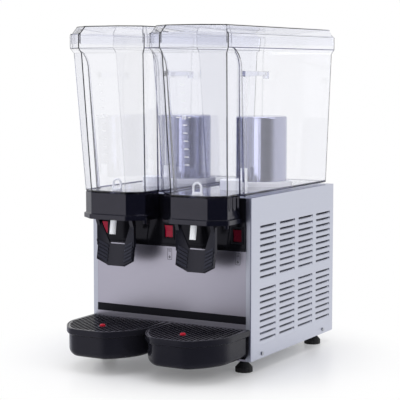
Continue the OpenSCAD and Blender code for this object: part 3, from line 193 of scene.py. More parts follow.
# Painted light: the white glow covers the floor's own shading by the fade's share, also over its shadow
white = add(tree, "Emission", {"Color": shade.outputs[2], "Strength": 1.0})
share = add(tree, "Math", {0: fade, 1: seen}, operation="MULTIPLY")
mixed = add(tree, "MixShader", {0: share, 1: shader, 2: white})
tree.links.new(mixed.outputs[0], tree.nodes["Material Output"].inputs["Surface"])
floor.data.materials.append(paint)
print("floor ready")

# %% World and lamps
world = bpy.data.worlds.new("studio")
bpy.context.scene.world = world
world.use_nodes = True
tree = world.node_tree
ray = add(tree, "LightPath").outputs
place = add(tree, "TexCoord").outputs["Generated"]
mirrored = add(tree, "Background", {"Color": dimmed(tree, place), "Strength": 1.0})
lighting = add(tree, "Background", {"Color": (0.97, 0.98, 1.0, 1.0), "Strength": 0.55})
plain = add(tree, "Background", {"Color": WHITE, "Strength": 1.0})
glossy = add(tree, "Math", {0: ray["Is Glossy Ray"], 1: ray["Is Transmission Ray"]}, operation="MAXIMUM")
light = add(tree, "MixShader", {0: glossy, 1: lighting, 2: mirrored})
final = add(tree, "MixShader", {0: ray["Is Camera Ray"], 1: light, 2: plain})
tree.links.new(final.outputs[0], tree.nodes["World Output"].inputs["Surface"])

# Softboxes: name, place, size and power in watts; all are aimed at the middle of the machine
SOFTBOXES = (("overhead", (0.1, -0.2, 2.6), 1.8, 26.0), ("left", (-2.2, -1.4, 1.3), 1.4, 20.0),
             ("right", (2.4, -0.4, 1.5), 1.2, 14.0), ("front", (0.5, -2.6, 0.5), 1.4, 13.0))
MIDDLE = np.array((0.0, 0.0, 0.35))
for name, spot, size, power in SOFTBOXES:
    data = bpy.data.lights.new(name, "AREA")
    data.size, data.energy = size, power
    lamp = in_scene(name, data)
    lamp.location = spot
    lamp.visible_glossy = False
    aim = MIDDLE - spot
    lamp.rotation_euler = (np.arctan2(np.hypot(aim[0], aim[1]), -aim[2]), 0.0, np.arctan2(-aim[0], aim[1]))
print("stage ready,", len(SOFTBOXES), "softboxes")

# %% [markdown]
# ## Metals
# The side panels are satin stainless steel, the front is brushed along its width, and the drums inside
# the bowls are drawn and polished. A metal keeps its own colour in its mirror image, so its look comes
# from roughness: fine grinding lines are noise that is stretched along the rubbing direction.

# %% Steel finishes
# Nearly all of the noise lies between these two values
NOISE_SPAN = {1: 0.3, 2: 0.7}


def grained(name, rough, spread, lift, deep_mm, noise, stretch=(1.0, 1.0, 1.0), **values):
    """A material with a grain: noise, squeezed by stretch, varies roughness by spread and lifts a bump."""
    material, tree, shader = new_material(name, Roughness=rough, **values)
    place = add(tree, "TexCoord").outputs["Object"]
    squeezed = add(tree, "Mapping", {"Vector": place, "Scale": stretch})
    grain = add(tree, "TexNoise", {"Vector": squeezed, **noise})
    shade = add(tree, "MapRange", {"Value": grain, **NOISE_SPAN, 3: rough - spread, 4: rough + spread})
    bump = add(tree, "Bump", {"Height": grain, "Strength": lift, "Distance": deep_mm * MM})
    tree.links.new(shade.outputs[0], shader.inputs["Roughness"])
    tree.links.new(bump.outputs[0], shader.inputs["Normal"])
    return material


def ground_steel(name, tone, rough, spread, stretch, line_mm, lift):
    """Metal with grinding lines, line_mm apart before they are stretched."""
    noise = {"Scale": 1.0 / (line_mm * MM), "Detail": 3.0, "Roughness": 0.6}
    return grained(name, rough, spread, lift, deep_mm=0.05, noise=noise, stretch=stretch, Metallic=1.0,
                   Base_Color=linear(tone))


# By slot: name, tone, roughness, its spread, stretch, spacing of the lines in mm and strength of the bump.
# Real grinding lines are under 0.1 mm apart; about 1 to 2 mm is the finest that shows in the picture.
METALS = {
    "side_steel": ("satin stainless sheet", "#c9ccd9", 0.42, 0.03, (1.0, 0.06, 1.0), 1.5, 0.06),
    "brushed_front": ("brushed stainless front", "#b3b0be", 0.32, 0.04, (0.02, 1.0, 1.0), 0.7, 0.08),
    "drum_steel": ("polished stainless drum", "#a8aac2", 0.12, 0.03, (1.0, 1.0, 0.02), 2.0, 0.03),
    "galvanised": ("zinc plated steel", "#b9bcc2", 0.45, 0.12, (1.0, 1.0, 1.0), 9.0, 0.05),
    "fin_aluminium": ("mill finish aluminium", "#c9cbd0", 0.38, 0.06, (1.0, 0.2, 1.0), 2.0, 0.10),
    "copper_line": ("drawn copper tube", "#c98a66", 0.30, 0.08, (1.0, 1.0, 1.0), 6.0, 0.05),
    "magnet": ("sintered magnet", "#5a5a5f", 0.60, 0.10, (1.0, 1.0, 1.0), 1.5, 0.20),
}
FINISH = {slot: ground_steel(*values) for slot, values in METALS.items()}
SAME = {"deck_steel": "side_steel", "screw_steel": "galvanised", "spring_steel": "drum_steel"}
FINISH.update({slot: FINISH[other] for slot, other in SAME.items()})
print(len(METALS), "metals")

# %% [markdown]
# ## Plastics and rubber
# Covers, trays and levers are black ABS, moulded in polished or lightly textured tools. Moulded plastic
# is never perfectly flat: a slow waviness and a fine grain bend its highlights. The taps and plungers
# are white acetal, the seals white silicone, and the switches and floats red.

# %% Moulded finishes
COOL = (0.84, 0.82, 1.0, 1.0)


def moulded(name, tone, rough, grain_mm, lift, gloss=0.5, tint=WHITE):
    """Moulded plastic: fine noise varies the roughness and lifts a shallow grain. Gloss is the strength of
    its highlights, and tint their colour."""
    noise = {"Scale": 1.0 / (grain_mm * MM), "Detail": 2.0}
    return grained(name, rough, spread=0.05, lift=lift, deep_mm=0.2, noise=noise, Base_Color=linear(tone),
                   Specular_IOR_Level=gloss, Specular_Tint=tint)


# By slot, or by use where a piece has a finish of its own: name, tone, roughness, size of the grain in mm,
# strength of its bump, and gloss and tint where they differ
PLASTICS = {
    "black_gloss": ("polished black ABS", "#0a0a10", 0.20, 30.0, 0.04, 0.68, COOL),
    "black_satin": ("textured black ABS", "#0e0e12", 0.40, 1.2, 0.15, 0.22, COOL),
    "tray_black": ("polished black tray ABS", "#1c1c22", 0.22, 25.0, 0.04, 0.2, COOL),
    "black_lever": ("fine-grained black ABS", "#0c0d12", 0.22, 1.5, 0.10, 0.5, COOL),
    # The ribs' black is rougher and lighter than the lever's they are moulded on: the roughness is a matt
    # finish, the lighter tone is painted highlight on their raised faces
    "rib_black_painted_light": ("matt black rib ABS with painted highlight", "#2b2c35", 0.45, 1.5, 0.10, 0.3, COOL),
    "panel_black": ("smooth black panel ABS", "#0d0d11", 0.15, 40.0, 0.03, 0.2, COOL),
    "black_rubber": ("moulded black rubber", "#121213", 0.62, 1.5, 0.20),
    "black_paint": ("black enamel on steel", "#121214", 0.25, 14.0, 0.05),
    "white_plastic": ("white acetal", "#f3f4f7", 0.34, 8.0, 0.05),
    "white_rubber": ("white silicone", "#e6e6e9", 0.48, 5.0, 0.08),
    "fan_plastic": ("grey nylon", "#8a8d92", 0.45, 2.0, 0.12),
    "red_rocker": ("red switch lens", "#a80a33", 0.16, 6.0, 0.05, 0.25),
    # The right switch's lens: a darker red than the other two
    "dark_lens": ("darker red switch lens", "#4a0c1a", 0.16, 6.0, 0.05, 0.2),
    "red_float": ("red float plastic", "#b01028", 0.25, 6.0, 0.05, 0.3),
    "white_ink": ("white screen ink", "#f4f4f6", 0.5, 2.0, 0.05),
    "dark_ink": ("dark grey screen ink", "#3c3c44", 0.5, 2.0, 0.05),
}
FINISH.update({slot: moulded(*values) for slot, values in PLASTICS.items()})
print(len(PLASTICS), "plastics and inks")

# %% [markdown]
# ## Clear plastic
# The bowls are clear polycarbonate. It bends light, and a faint violet tint that is hardly seen through one
# wall builds up where the eye looks along a wall: the tint is absorption, so it follows from the length that
# light travels inside. The dark lines on the corners of bowls and lids, at the bowls' feet and along the
# collar's crease are painted shade: a dark tone mixed into the clear colour on marked faces, for the dark
# surroundings seen through round corners. The refractive indices are below real ones, most of all the lids',
# because with those the facets come out darker here than in the photograph.

# %% Clear plastic
# Painted shade: its dark tone, its share on faces that face the eye, and how much more it gets as the eye
# looks along a face; then the tint of the absorption
PAINTED_EDGE_TONE, PAINTED_EDGE_FRONT, PAINTED_EDGE_GRAZE, TINT = "#26264a", 0.1, 2.0, "#3059c2"


def clear_plastic(name, rough, density, ior):
    """Clear plastic: a fully transmitting shader, and absorption by the tint over each metre of path. Faces
    with
    an edge value get painted shade: their clear colour is mixed towards a dark tone, the more so the more the
    eye looks along them. Light on its way from a lamp goes straight through, so that the pieces inside are
    lit."""
    material, tree, shader = new_material(name, Base_Color=WHITE, Roughness=rough, IOR=ior,
                                          Transmission_Weight=1.0)
    edge = add(tree, "Attribute", attribute_name="edge").outputs["Fac"]
    graze = add(tree, "LayerWeight", {"Blend": 0.5}).outputs["Facing"]
    graze = add(tree, "Math", {0: graze, 1: PAINTED_EDGE_GRAZE, 2: PAINTED_EDGE_FRONT}, operation="MULTIPLY_ADD")
    dark = add(tree, "Math", {0: edge, 1: graze}, operation="MULTIPLY", use_clamp=True)
    tone = add(tree, "Mix", {0: dark, 6: WHITE, 7: linear(PAINTED_EDGE_TONE)}, data_type="RGBA")
    tree.links.new(tone.outputs[2], shader.inputs["Base Color"])
    depth = add(tree, "VolumeAbsorption", {"Color": linear(TINT), "Density": density})
    shadow = add(tree, "LightPath").outputs["Is Shadow Ray"]
    straight = add(tree, "BsdfTransparent", {"Color": (0.93, 0.93, 0.95, 1.0)})
    mixed = add(tree, "MixShader", {0: shadow, 1: shader, 2: straight})
    output = tree.nodes["Material Output"]
    tree.links.new(mixed.outputs[0], output.inputs["Surface"])
    tree.links.new(depth.outputs[0], output.inputs["Volume"])
    return material


# Light crosses up to a dozen walls here, and each wall has two faces
limits = bpy.context.scene.cycles
limits.max_bounces = limits.transmission_bounces = limits.transparent_max_bounces = 48
# Name, roughness, density of the tint and refractive index
CLEAR = {"clear_bowl": ("clear polycarbonate", 0.0, 12.0, 1.48),
         "clear_lid": ("clear lid styrene", 0.0, 16.0, 1.22),
         "clear_tube": ("clear acrylic tube", 0.05, 16.0, 1.40)}
FINISH.update({slot: clear_plastic(*values) for slot, values in CLEAR.items()})
print(len(CLEAR), "clear plastics")

# %% [markdown]
# ## Dress the CAD pieces
# Each CAD piece takes the finish of the material slot that its record names.

# %% Finishes by slot
RECORD = frame["record"]
BODY_OF = {node: body for body, nodes in RECORD["behaviour"]["bodies"].items() for node in nodes}
SLOT_OF = {part["node"]: part["material_slot"] for part in RECORD["subparts"]}
for node, slot in SLOT_OF.items():
    mesh = frame["nodes"][node].data
    mesh.materials.clear()
    mesh.materials.append(FINISH[slot])
print("finished", len(SLOT_OF), "pieces")

# %% [markdown]
# ## Shells from rings
# Nearly every moulded piece here is an outline that changes with height: a bowl, a lid, a tray, a cover.
# Such a piece could be drawn by hand and extruded. It is worked out instead as a stack of rings with
# equal numbers of points, because one small function then turns any stack into faces, and a change of
# size moves every ring alike. All shapes are in millimetres until they become a mesh.

# %% Rings and shells
# Points on each round corner, and the gap left where two shells of a piece meet
CORNER_STEPS, AIR = 7, 0.02


def rounded(corners, radii, steps=CORNER_STEPS):
    """Outline with round corners. At a corner with unit vectors u and v to its neighbours, and half the angle
    between them h, the centre lies r/sin(h) along u+v, and the arc runs from the point r/tan(h) along u:
    centre + r (cos a * e - sin a * u), where e is the unit vector from the centre to that first point."""
    p = np.asarray(corners, float)
    r = np.broadcast_to(np.asarray(radii, float), len(p))[:, None]
    u, v = np.roll(p, 1, 0) - p, np.roll(p, -1, 0) - p
    u, v = u / np.linalg.norm(u, axis=1, keepdims=True), v / np.linalg.norm(v, axis=1, keepdims=True)
    h = np.arccos(np.clip((u * v).sum(1, keepdims=True), -1, 1)) / 2
    centre = p + (u + v) / np.linalg.norm(u + v, axis=1, keepdims=True) * r / np.sin(h)
    e = (p + u * r / np.tan(h) - centre) / r
    a = (np.linspace(0, 1, steps) * (np.pi - 2 * h))[..., None]
    return (centre[:, None] + r[:, None] * (np.cos(a) * e[:, None] - np.sin(a) * u[:, None])).reshape(-1, 2)


def at_height(outline, z):
    """An outline in the plane, lifted to a height or to a height for each point."""
    return np.column_stack([outline, np.broadcast_to(z, len(outline))])


def skin(rings, loop=False):
    """Quads between neighbouring rings; loop joins the last ring to the first, else both ends are closed."""
    rings = np.asarray(rings)
    k, n = rings.shape[:2]
    i, j = np.arange(k if loop else k - 1)[:, None], np.arange(n)[None, :]
    near, far, ahead = i * n, (i + 1) % k * n, (j + 1) % n
    quads = np.stack([near + j, near + ahead, far + ahead, far + j], -1).reshape(-1, 4)
    ends = [] if loop else [np.arange(n)[None, ::-1], np.arange((k - 1) * n, k * n)[None]]
    return rings.reshape(-1, 3), [quads, *ends]


def circle(r, n=48):
    """Points round a circle about the origin."""
    a = np.linspace(0, 2 * np.pi, n, endpoint=False)
    return r * np.column_stack([np.cos(a), np.sin(a)])


def rectangle(low_x, high_x, low_z, high_z):
    """Four corners, anticlockwise as seen from the front."""
    return np.array([(low_x, low_z), (high_x, low_z), (high_x, high_z), (low_x, high_z)])


def edge_round(r, steps=4):
    """Quarter circle of a rounded edge, in pairs: how far a ring draws in, and how far from the face."""
    a = np.linspace(0, np.pi / 2, steps)
    return list(zip(r * (1 - np.sin(a)), r * (1 - np.cos(a))))


def pillow(outline, low, high, r):
    """Prism over outline(w), its outline drawn in by w, with both edges rounded by r."""
    up = [at_height(outline(w), low + z) for w, z in edge_round(r)]
    return skin(up + [at_height(outline(w), high - z) for w, z in edge_round(r)[::-1]])


def block(low, high, r, corner=1.05, ease=0.95):
    """Box with edges rounded by r. Drawn in by w, its upright corners have corner * r - ease * w."""
    middle, half = (np.add(low, high) / 2)[:2], (np.subtract(high, low) / 2)[:2]
    signs = np.array([(-1, -1), (1, -1), (1, 1), (-1, 1)])
    return pillow(lambda w: rounded(middle + signs * (half - w), corner * r - ease * w), low[2], high[2], r)


def post(x, y, r, low, high, edge):
    """Upright round post with rounded edges."""
    return pillow(lambda w: circle(r - w) + (x, y), low, high, edge)


def turned(profile, y, loop=False, n=96):
    """Profile of radius and height, carried round an upright axis at y."""
    return skin([at_height(circle(r, n) + (0.0, y), z) for r, z in profile], loop)


print("a box has", len(block((0, 0, 0), (1, 1, 1), 0.1)[0]), "points")

# %% [markdown]
# ## Pieces from shells
# A piece joins its shells in one mesh, rides the body of the CAD node that it stands for, and hides that
# node. Most pieces come in pairs, one for each bowl, so one more function makes both.

# %% Pieces
FRONT_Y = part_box("front_panel")[0][1] / MM
CENTRE_X = {side: sum(p[0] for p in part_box(f"{side}_bowl")) / 2 / MM for side in SIDES}


def dress(name, mesh, node=None, body=None, slot=None, sharp=32.0, finish=None):
    """Puts a finished mesh in the scene as a piece that rides its body. Edges that turn more than sharp
    degrees stay crisp. A finish other than its slot's can be named."""
    mesh.shade_smooth()
    mesh.set_sharp_from_angle(angle=np.radians(sharp))
    mesh.materials.append(FINISH[finish or slot or SLOT_OF[node]])
    piece = in_scene(name, mesh)
    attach(piece, body or BODY_OF[node])
    if node:
        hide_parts(node)
    even = piece.modifiers.new("even normals", "WEIGHTED_NORMAL")
    even.keep_sharp = True
    return piece


def new_piece(name, shells, node=None, edge=None, **more):
    """Joins shells in millimetres into one piece. Its first faces take the values of edge, the painted shade
    of clear plastic, and the others 0.
    """
    starts = np.cumsum([0] + [len(points) for points, _ in shells])
    faces = [f + s for (_, groups), s in zip(shells, starts) for f in groups]
    counts = np.concatenate([np.full(len(f), f.shape[1]) for f in faces])
    corners = np.concatenate([f.ravel() for f in faces])
    mesh = bpy.data.meshes.new(name)
    mesh.vertices.add(starts[-1])
    mesh.loops.add(len(corners))
    mesh.polygons.add(len(counts))
    mesh.vertices.foreach_set("co", np.concatenate([points for points, _ in shells]).ravel() * MM)
    mesh.loops.foreach_set("vertex_index", corners)
    mesh.polygons.foreach_set("loop_start", np.cumsum(counts) - counts)
    mesh.update(calc_edges=True)
    if edge is not None:
        marks = np.zeros(len(counts))
        marks[:edge.size] = edge.ravel()
        mesh.attributes.new("edge", "FLOAT", "FACE").data.foreach_set("value", marks)
    mesh.validate()
    return dress(name, mesh, node, **more)


def placed(shell, side):
    """Moves a shell drawn about a bowl's middle plane, with y = 0 at the cabinet's front, to its side."""
    points, faces = shell
    return points + (CENTRE_X[side], FRONT_Y, 0.0), faces


def both(name, shells, node=None, on=None, **more):
    """A piece for each side, of shells about its middle plane. It stands for a node, or rides on one."""
    pieces = [new_piece(f"{side}_{name}", [placed(shell, side) for shell in shells],
                        node and f"{side}_{node}", body=BODY_OF[f"{side}_{on or node}"], **more)
              for side in SIDES]
    print(name, "on both sides,", len(pieces[0].data.polygons), "faces each")
    return pieces


print("bowls' middle planes at", CENTRE_X, "mm, cabinet front at", round(FRONT_Y, 2), "mm")

# %% [markdown]
# ## Bowls
# Each bowl is a tall clear moulding with a chamfered nose, a flared collar and a step in its side walls.
# The step leans forward as it rises and ends in an arch under the collar. The wall is one shell: it goes
# up the outside, over the rim and down the inside, so that light bends at both of its faces. The holes
# for the drum and the outlet are cut out of the floor afterwards.

# %% Bowl outlines
NOSE_FLAT, CHAMFER_RATIO, STEP_SLANT, BOWL_WALL = 84.0, 0.82, 2.0, 3.0
COLLAR_H, FLARE_H, ARCH_H, CORNER_CLEAR = 27.0, 10.0, 44.0, 12.0
# Chamfer's width, nose's reach, rear half width and rear end
BOWL_LOW, BOWL_HIGH = np.array((31.0, 84.0, 83.0, 389.0)), np.array((42.0, 117.0, 88.0, 404.0))
BOWL_COLLAR = np.array((48.0, 127.0, 90.5, 413.0))
STEP_LOW, STEP_HIGH = 7.0, 31.0
# The step's corners take a share of its depth, between two radii
NOSE_CORNER_R, STEP_R, STEP_SHARE, REAR_CORNER_R, LEAST_R = 3.0, (1.8, 3.4), 0.45, 5.0, 0.5
Z_TOP, Z_RIM = (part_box("left_bowl")[i][2] / MM for i in (0, 1))
Z_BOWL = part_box("left_nose_cover")[1][2] / MM
Z_FLOOR, Z_COLLAR = Z_BOWL + BOWL_WALL, Z_RIM - COLLAR_H
Z_FLARE, Z_ARCH = Z_COLLAR - FLARE_H, Z_COLLAR - ARCH_H
ARCH_END = BOWL_COLLAR[1] - BOWL_COLLAR[0] * CHAMFER_RATIO - CORNER_CLEAR


def chamfered(sizes, step, w, nose_r=NOSE_CORNER_R):
    """Outline of ten corners drawn in by w: flat nose, chamfers, steps and round rear corners."""
    chamfer, reach, half, rear = sizes
    flat = NOSE_FLAT / 2 - w * np.tan(np.arctan(CHAMFER_RATIO) / 2)
    nose, front = NOSE_FLAT / 2 + chamfer - w, w - reach
    back, turn = front + (nose - flat) * CHAMFER_RATIO, w - step
    right = [(flat, front), (nose, back), (nose, turn - STEP_SLANT), (half - w, turn), (half - w, rear - w)]
    corners = np.array([(-x, y) for x, y in right[::-1]] + right)
    step_r = np.clip(STEP_SHARE * (half - w - nose), *STEP_R)
    radii = np.maximum((nose_r - w / 2, nose_r - w / 2, step_r, step_r, REAR_CORNER_R - w), LEAST_R)
    return rounded(corners, np.concatenate([radii[::-1], radii]))


def bowl_ring(z, w):
    """The bowl's outline at height z: sizes run straight to the flare and straight through it, and the step
    runs straight to the arch and then along a quarter ellipse."""
    share = np.clip((z - Z_BOWL) / (Z_FLARE - Z_BOWL), 0, 1)
    s = np.clip((z - Z_FLARE) / FLARE_H, 0, 1)
    sizes = BOWL_LOW + (BOWL_HIGH - BOWL_LOW) * share + (BOWL_COLLAR - BOWL_HIGH) * s
    lean = STEP_LOW + (STEP_HIGH - STEP_LOW) * (min(z, Z_ARCH) - Z_BOWL) / (Z_FLARE - Z_BOWL)
    a = np.clip((z - Z_ARCH) / ARCH_H, 0, 1)
    step = lean + (ARCH_END - lean) * (1 - np.sqrt(1 - a * a))
    return at_height(chamfered(sizes, step, w), z)


print("bowl from", Z_BOWL, "to", Z_RIM, "mm")

# %% Bowls
BASE_R, BOWL_EDGE, CREASE, CUT = 3.0, 0.5, 0.9, 2.0
SEAL_R, DRUM_Y, OUTLET_R, VALVE_Y, PUMP_Y, PUMP_PIN = 66.3, 226.0, 8.0, -50.0, 100.0, (3.0, 378.5)
RUNNER_X, RUNNER_T, RUNNER_Y, RUNNER_EDGE, PIN_EDGE = 69.0, 4.0, (20.0, 367.0), 0.8, 0.5
# Painted shade on each round corner of the outline: flat nose, chamfer, both turns of the step, and rear
CORNER_PAINTED_SHADE = np.array((0.8, 0.8, 5.0, 1.0, 0.5))
# Painted shade on the bowl's foot, where it sits on the deck, and along the crease under the collar
FOOT_PAINTED_SHADE, CREASE_PAINTED_SHADE = 3.0, 1.0


def cut_hole(piece, cutter):
    """Takes a closed shell out of a piece with an exact boolean, and leaves no cutter behind."""
    points, faces = cutter
    tool = in_scene("cutter", bpy.data.meshes.new("cutter"))
    tool.data.from_pydata((points * MM).tolist(), [], [f for group in faces for f in group.tolist()])
    step = piece.modifiers.new("holes", "BOOLEAN")
    step.operation, step.object, step.solver = "DIFFERENCE", tool, "EXACT"
    graph = bpy.context.evaluated_depsgraph_get()
    cut = bpy.data.meshes.new_from_object(piece.evaluated_get(graph))
    piece.modifiers.remove(step)
    piece.data = cut
    bpy.data.objects.remove(tool)


def painted_corner_shade(rings):
    """Painted shade on round corners, and 0 on the flats between, for every step from ring to ring."""
    dark = np.concatenate([CORNER_PAINTED_SHADE[::-1], CORNER_PAINTED_SHADE])
    corner, step = np.divmod(np.arange(len(dark) * CORNER_STEPS), CORNER_STEPS)
    return np.tile(dark[corner] * (step < CORNER_STEPS - 1), (len(rings) - 1, 1))


base, lip = edge_round(BASE_R, 5), edge_round(BOWL_EDGE)
arch = Z_ARCH + ARCH_H * np.sin(np.linspace(0, np.pi / 2, 14))
heights = np.union1d(arch, [Z_FLARE, Z_COLLAR - CREASE, Z_COLLAR + CREASE])
rings = [bowl_ring(Z_BOWL + z, w) for w, z in base] + [bowl_ring(z, 0.0) for z in heights]
rings += [bowl_ring(Z_RIM - z, w) for w, z in lip[::-1]]
rings += [bowl_ring(Z_RIM - z, BOWL_WALL - w) for w, z in lip]
rings += [bowl_ring(z, BOWL_WALL) for z in heights[::-1]]
rings += [bowl_ring(Z_FLOOR + z, BOWL_WALL + w) for w, z in base[::-1]]
# Painted shade, carried as the faces' edge values: on the corners, the foot and the collar's crease
dark = painted_corner_shade(rings)
dark[:len(base) - 1] = FOOT_PAINTED_SHADE
middle_z = np.array([(a[0, 2] + b[0, 2]) / 2 for a, b in zip(rings, rings[1:])])
outside = np.arange(len(middle_z)) < len(middle_z) / 2
dark[outside & (np.abs(middle_z - Z_COLLAR) < CREASE)] = CREASE_PAINTED_SHADE
for side, bowl in zip(SIDES, both("bowl_shell", [skin(rings)], "bowl", sharp=18.0, edge=dark)):
    for y, r in ((DRUM_Y, SEAL_R), (VALVE_Y, OUTLET_R)):
        cut_hole(bowl, placed(turned([(r, Z_BOWL - CUT), (r, Z_FLOOR + CUT)], y), side))
half, (front, rear) = RUNNER_T / 2, RUNNER_Y
runners = [block((x - half, front, Z_TOP), (x + half, rear, Z_BOWL - AIR), RUNNER_EDGE)
           for x in (-RUNNER_X, RUNNER_X)]
pin = post(0.0, PUMP_Y, PUMP_PIN[0], Z_FLOOR + AIR, PUMP_PIN[1], PIN_EDGE)
both("bowl_ribs", [*runners, pin], on="bowl", slot="clear_bowl")

# %% [markdown]
# ## Lids
# A lid drops into the collar with a skirt, lies on the rim with a thin flange, and rises in the middle.
# The stack starts under the raised top, comes down the inside, turns at the skirt's edge and goes back up
# the outside, so that the lid too is one closed shell.

# %% Lids
LID_WALL, SKIRT_H, DOME_H, DOME_IN, DOME_FRONT, FLANGE_IN = 2.5, 18.0, 15.0, 5.0, 7.0, 1.0
SKIRT_GAP, DOME_R, LID_CORNER_R, DOME_PAINTED_SHADE = 1.2, 2.0, 4.6, 0.6
SKIRT_IN = BOWL_WALL + SKIRT_GAP
# How far in and how high the rings lie round the flange's edge and at the foot of the dome
FLANGE_EDGE = ((0.6, 0.0), (0.0, 0.6), (0.0, 1.9), (0.6, LID_WALL))
DOME_FOOT = ((-0.8, 0.0), (0.0, 0.3))


def lid_ring(w, z, dome=0.0):
    """Collar outline drawn in by w; dome from 0 to 1 draws the front in further."""
    sizes = BOWL_COLLAR - np.array((0.0, DOME_FRONT, 0.0, 0.0)) * dome
    return at_height(chamfered(sizes, ARCH_END, w, LID_CORNER_R), z)


z_seat, z_lid = Z_RIM + LID_WALL, Z_RIM + LID_WALL + DOME_H
crown, inside = edge_round(DOME_R, 5), SKIRT_IN + LID_WALL
rings = [lid_ring(inside + DOME_IN + w, z_lid - LID_WALL - z, 1.0) for w, z in crown]
rings += [lid_ring(inside, z) for z in (z_seat, Z_RIM - SKIRT_H)]
rings += [lid_ring(SKIRT_IN, z) for z in (Z_RIM - SKIRT_H, Z_RIM)]
rings += [lid_ring(FLANGE_IN + w, Z_RIM + z) for w, z in FLANGE_EDGE]
rings += [lid_ring(SKIRT_IN + w, z_seat + z) for w, z in DOME_FOOT]
rings += [lid_ring(SKIRT_IN + DOME_IN + w, z_lid - z, 1.0) for w, z in crown[::-1]]
# Painted shade on the lid's corners and on the round top of its dome
dark = painted_corner_shade(rings)
dark[1 - len(crown):] = DOME_PAINTED_SHADE
both("lid_shell", [skin(rings)], "lid", finish="clear_lid", sharp=18.0, edge=dark)

# %% [markdown]
# ## Nose covers
# A black cover hangs under each bowl's nose and hides the valve. It has a flange along its bottom edge, a
# sweep above the flange that grows towards the cabinet, and three shallow flutes in its side walls for the
# fingers. Its outline is sampled at equal steps, so that the flutes can be a formula along it.

# %% Outlines at equal steps
def resampled(outline, spacing):
    """Points at equal steps along a closed outline: x and y are read off against the running length."""
    closed = np.vstack([outline, outline[:1]])
    run = np.concatenate([[0.0], np.cumsum(np.linalg.norm(np.diff(closed, axis=0), axis=1))])
    steps = np.linspace(0.0, run[-1], int(run[-1] / spacing), endpoint=False)
    return np.column_stack([np.interp(steps, run, closed[:, i]) for i in (0, 1)])


def outward(outline):
    """Unit normals of an anticlockwise outline: the direction between both neighbours, turned right."""
    along = np.roll(outline, -1, 0) - np.roll(outline, 1, 0)
    normal = np.column_stack([along[:, 1], -along[:, 0]])
    return normal / np.linalg.norm(normal, axis=1, keepdims=True)


def smooth_step(t):
    """Soft S from 0 to 1: 3t^2 - 2t^3."""
    t = np.clip(t, 0.0, 1.0)
    return t * t * (3 - 2 * t)


print("halfway up the S:", smooth_step(0.5))

# %% Nose covers
COVER_H, COVER_WALL, COVER_REAR, COVER_EDGE_R, COVER_STEP = 54.0, 2.5, -4.9, 1.6, 0.9
BRIM_OUT, BRIM_H, BRIM_EDGE, TOP_EDGE = 4.0, 10.0, 0.7, 0.5
SWEEP_FRONT, SWEEP_REAR, SWEEP_CLEAR, BOSS_EDGE, FIX_EDGE = 3.0, 14.0, 1.0, 0.8, 1.5
FLUTE_Y, FLUTES, FLUTE_DEPTH, FLUTE_RUN, SIDEWAYS = (-56.0, -9.0), 3, 2.0, 10.0, 0.9
PIVOT_Y, HUB_OUT, SWING_Y = -66.0, 44.85, (-76.0, -41.7)
BOSS_X, BOSS_Y, BOSS_TOP, FIX_BOSS = (45.05, 51.05), 9.0, 329.7, (55.0, -30.0, 5.5, 11.0)
Z_BRIM = Z_BOWL - COVER_H
cover_half, cover_back = NOSE_FLAT / 2 + BOWL_LOW[0], BOWL_LOW[0] * CHAMFER_RATIO - BOWL_LOW[1]
right = [(NOSE_FLAT / 2, -BOWL_LOW[1]), (cover_half, cover_back), (cover_half, COVER_REAR)]
cover = resampled(rounded([(-x, y) for x, y in right[::-1]] + right, COVER_EDGE_R), COVER_STEP)
cover_normal = outward(cover)
along_side = np.clip((cover[:, 1] - FLUTE_Y[0]) / (FLUTE_Y[1] - FLUTE_Y[0]), 0.0, 1.0)
on_side = np.abs(cover_normal[:, 0]) > SIDEWAYS
sweep = SWEEP_FRONT + (SWEEP_REAR - SWEEP_FRONT) * smooth_step(along_side)
flute = FLUTE_DEPTH * on_side * np.sin(np.pi * FLUTES * along_side) ** 2


def cover_ring(w, z, fluted=0.0):
    """The cover's outline drawn in by w and by a share of the flutes, never behind the cover's rear."""
    inset = np.broadcast_to(w + flute * fluted, len(cover))[:, None]
    ring = cover - cover_normal * inset
    return at_height(np.column_stack([ring[:, 0], np.minimum(ring[:, 1], COVER_REAR)]), z)


# The lever's opening: the outline shrunk along rays from its middle to a rectangle
swing_mid = np.array((0.0, sum(SWING_Y) / 2))
swing_half = np.array((HUB_OUT, (SWING_Y[1] - SWING_Y[0]) / 2))
ray = cover - swing_mid
swing_hole = swing_mid + ray / np.max(np.abs(ray) / swing_half, axis=1, keepdims=True)
z_sweep, z_inside = Z_BRIM + BRIM_H, Z_BRIM + COVER_WALL
z_flute, share = z_sweep + SWEEP_REAR + SWEEP_CLEAR, np.linspace(0.0, 1.0, 6)
turn = np.linspace(0.0, np.pi / 2, 8)
out = BRIM_OUT - BRIM_EDGE
rings = [cover_ring(-out, Z_BRIM), cover_ring(-BRIM_OUT, Z_BRIM + BRIM_EDGE),
         cover_ring(-BRIM_OUT, z_sweep - BRIM_EDGE)]
rings += [cover_ring(-out * (1 - np.sin(a)), z_sweep + sweep * (1 - np.cos(a))) for a in turn]
rings += [cover_ring(0.0, z_flute + FLUTE_RUN * t, smooth_step(t)) for t in share]
rings += [cover_ring(0.0, Z_BOWL - TOP_EDGE, 1.0), cover_ring(TOP_EDGE, Z_BOWL, 1.0)]
rings += [cover_ring(COVER_WALL, Z_BOWL, 1.0)]
rings += [cover_ring(COVER_WALL, z_flute + FLUTE_RUN * t, smooth_step(t)) for t in share[::-1]]
rings += [cover_ring(COVER_WALL, z_inside), at_height(swing_hole, z_inside), at_height(swing_hole, Z_BRIM)]
fix_x, fix_y, fix_r, fix_h = FIX_BOSS
bosses = [post(x, fix_y, fix_r, Z_BRIM - fix_h, Z_BRIM - AIR, FIX_EDGE) for x in (-fix_x, fix_x)]
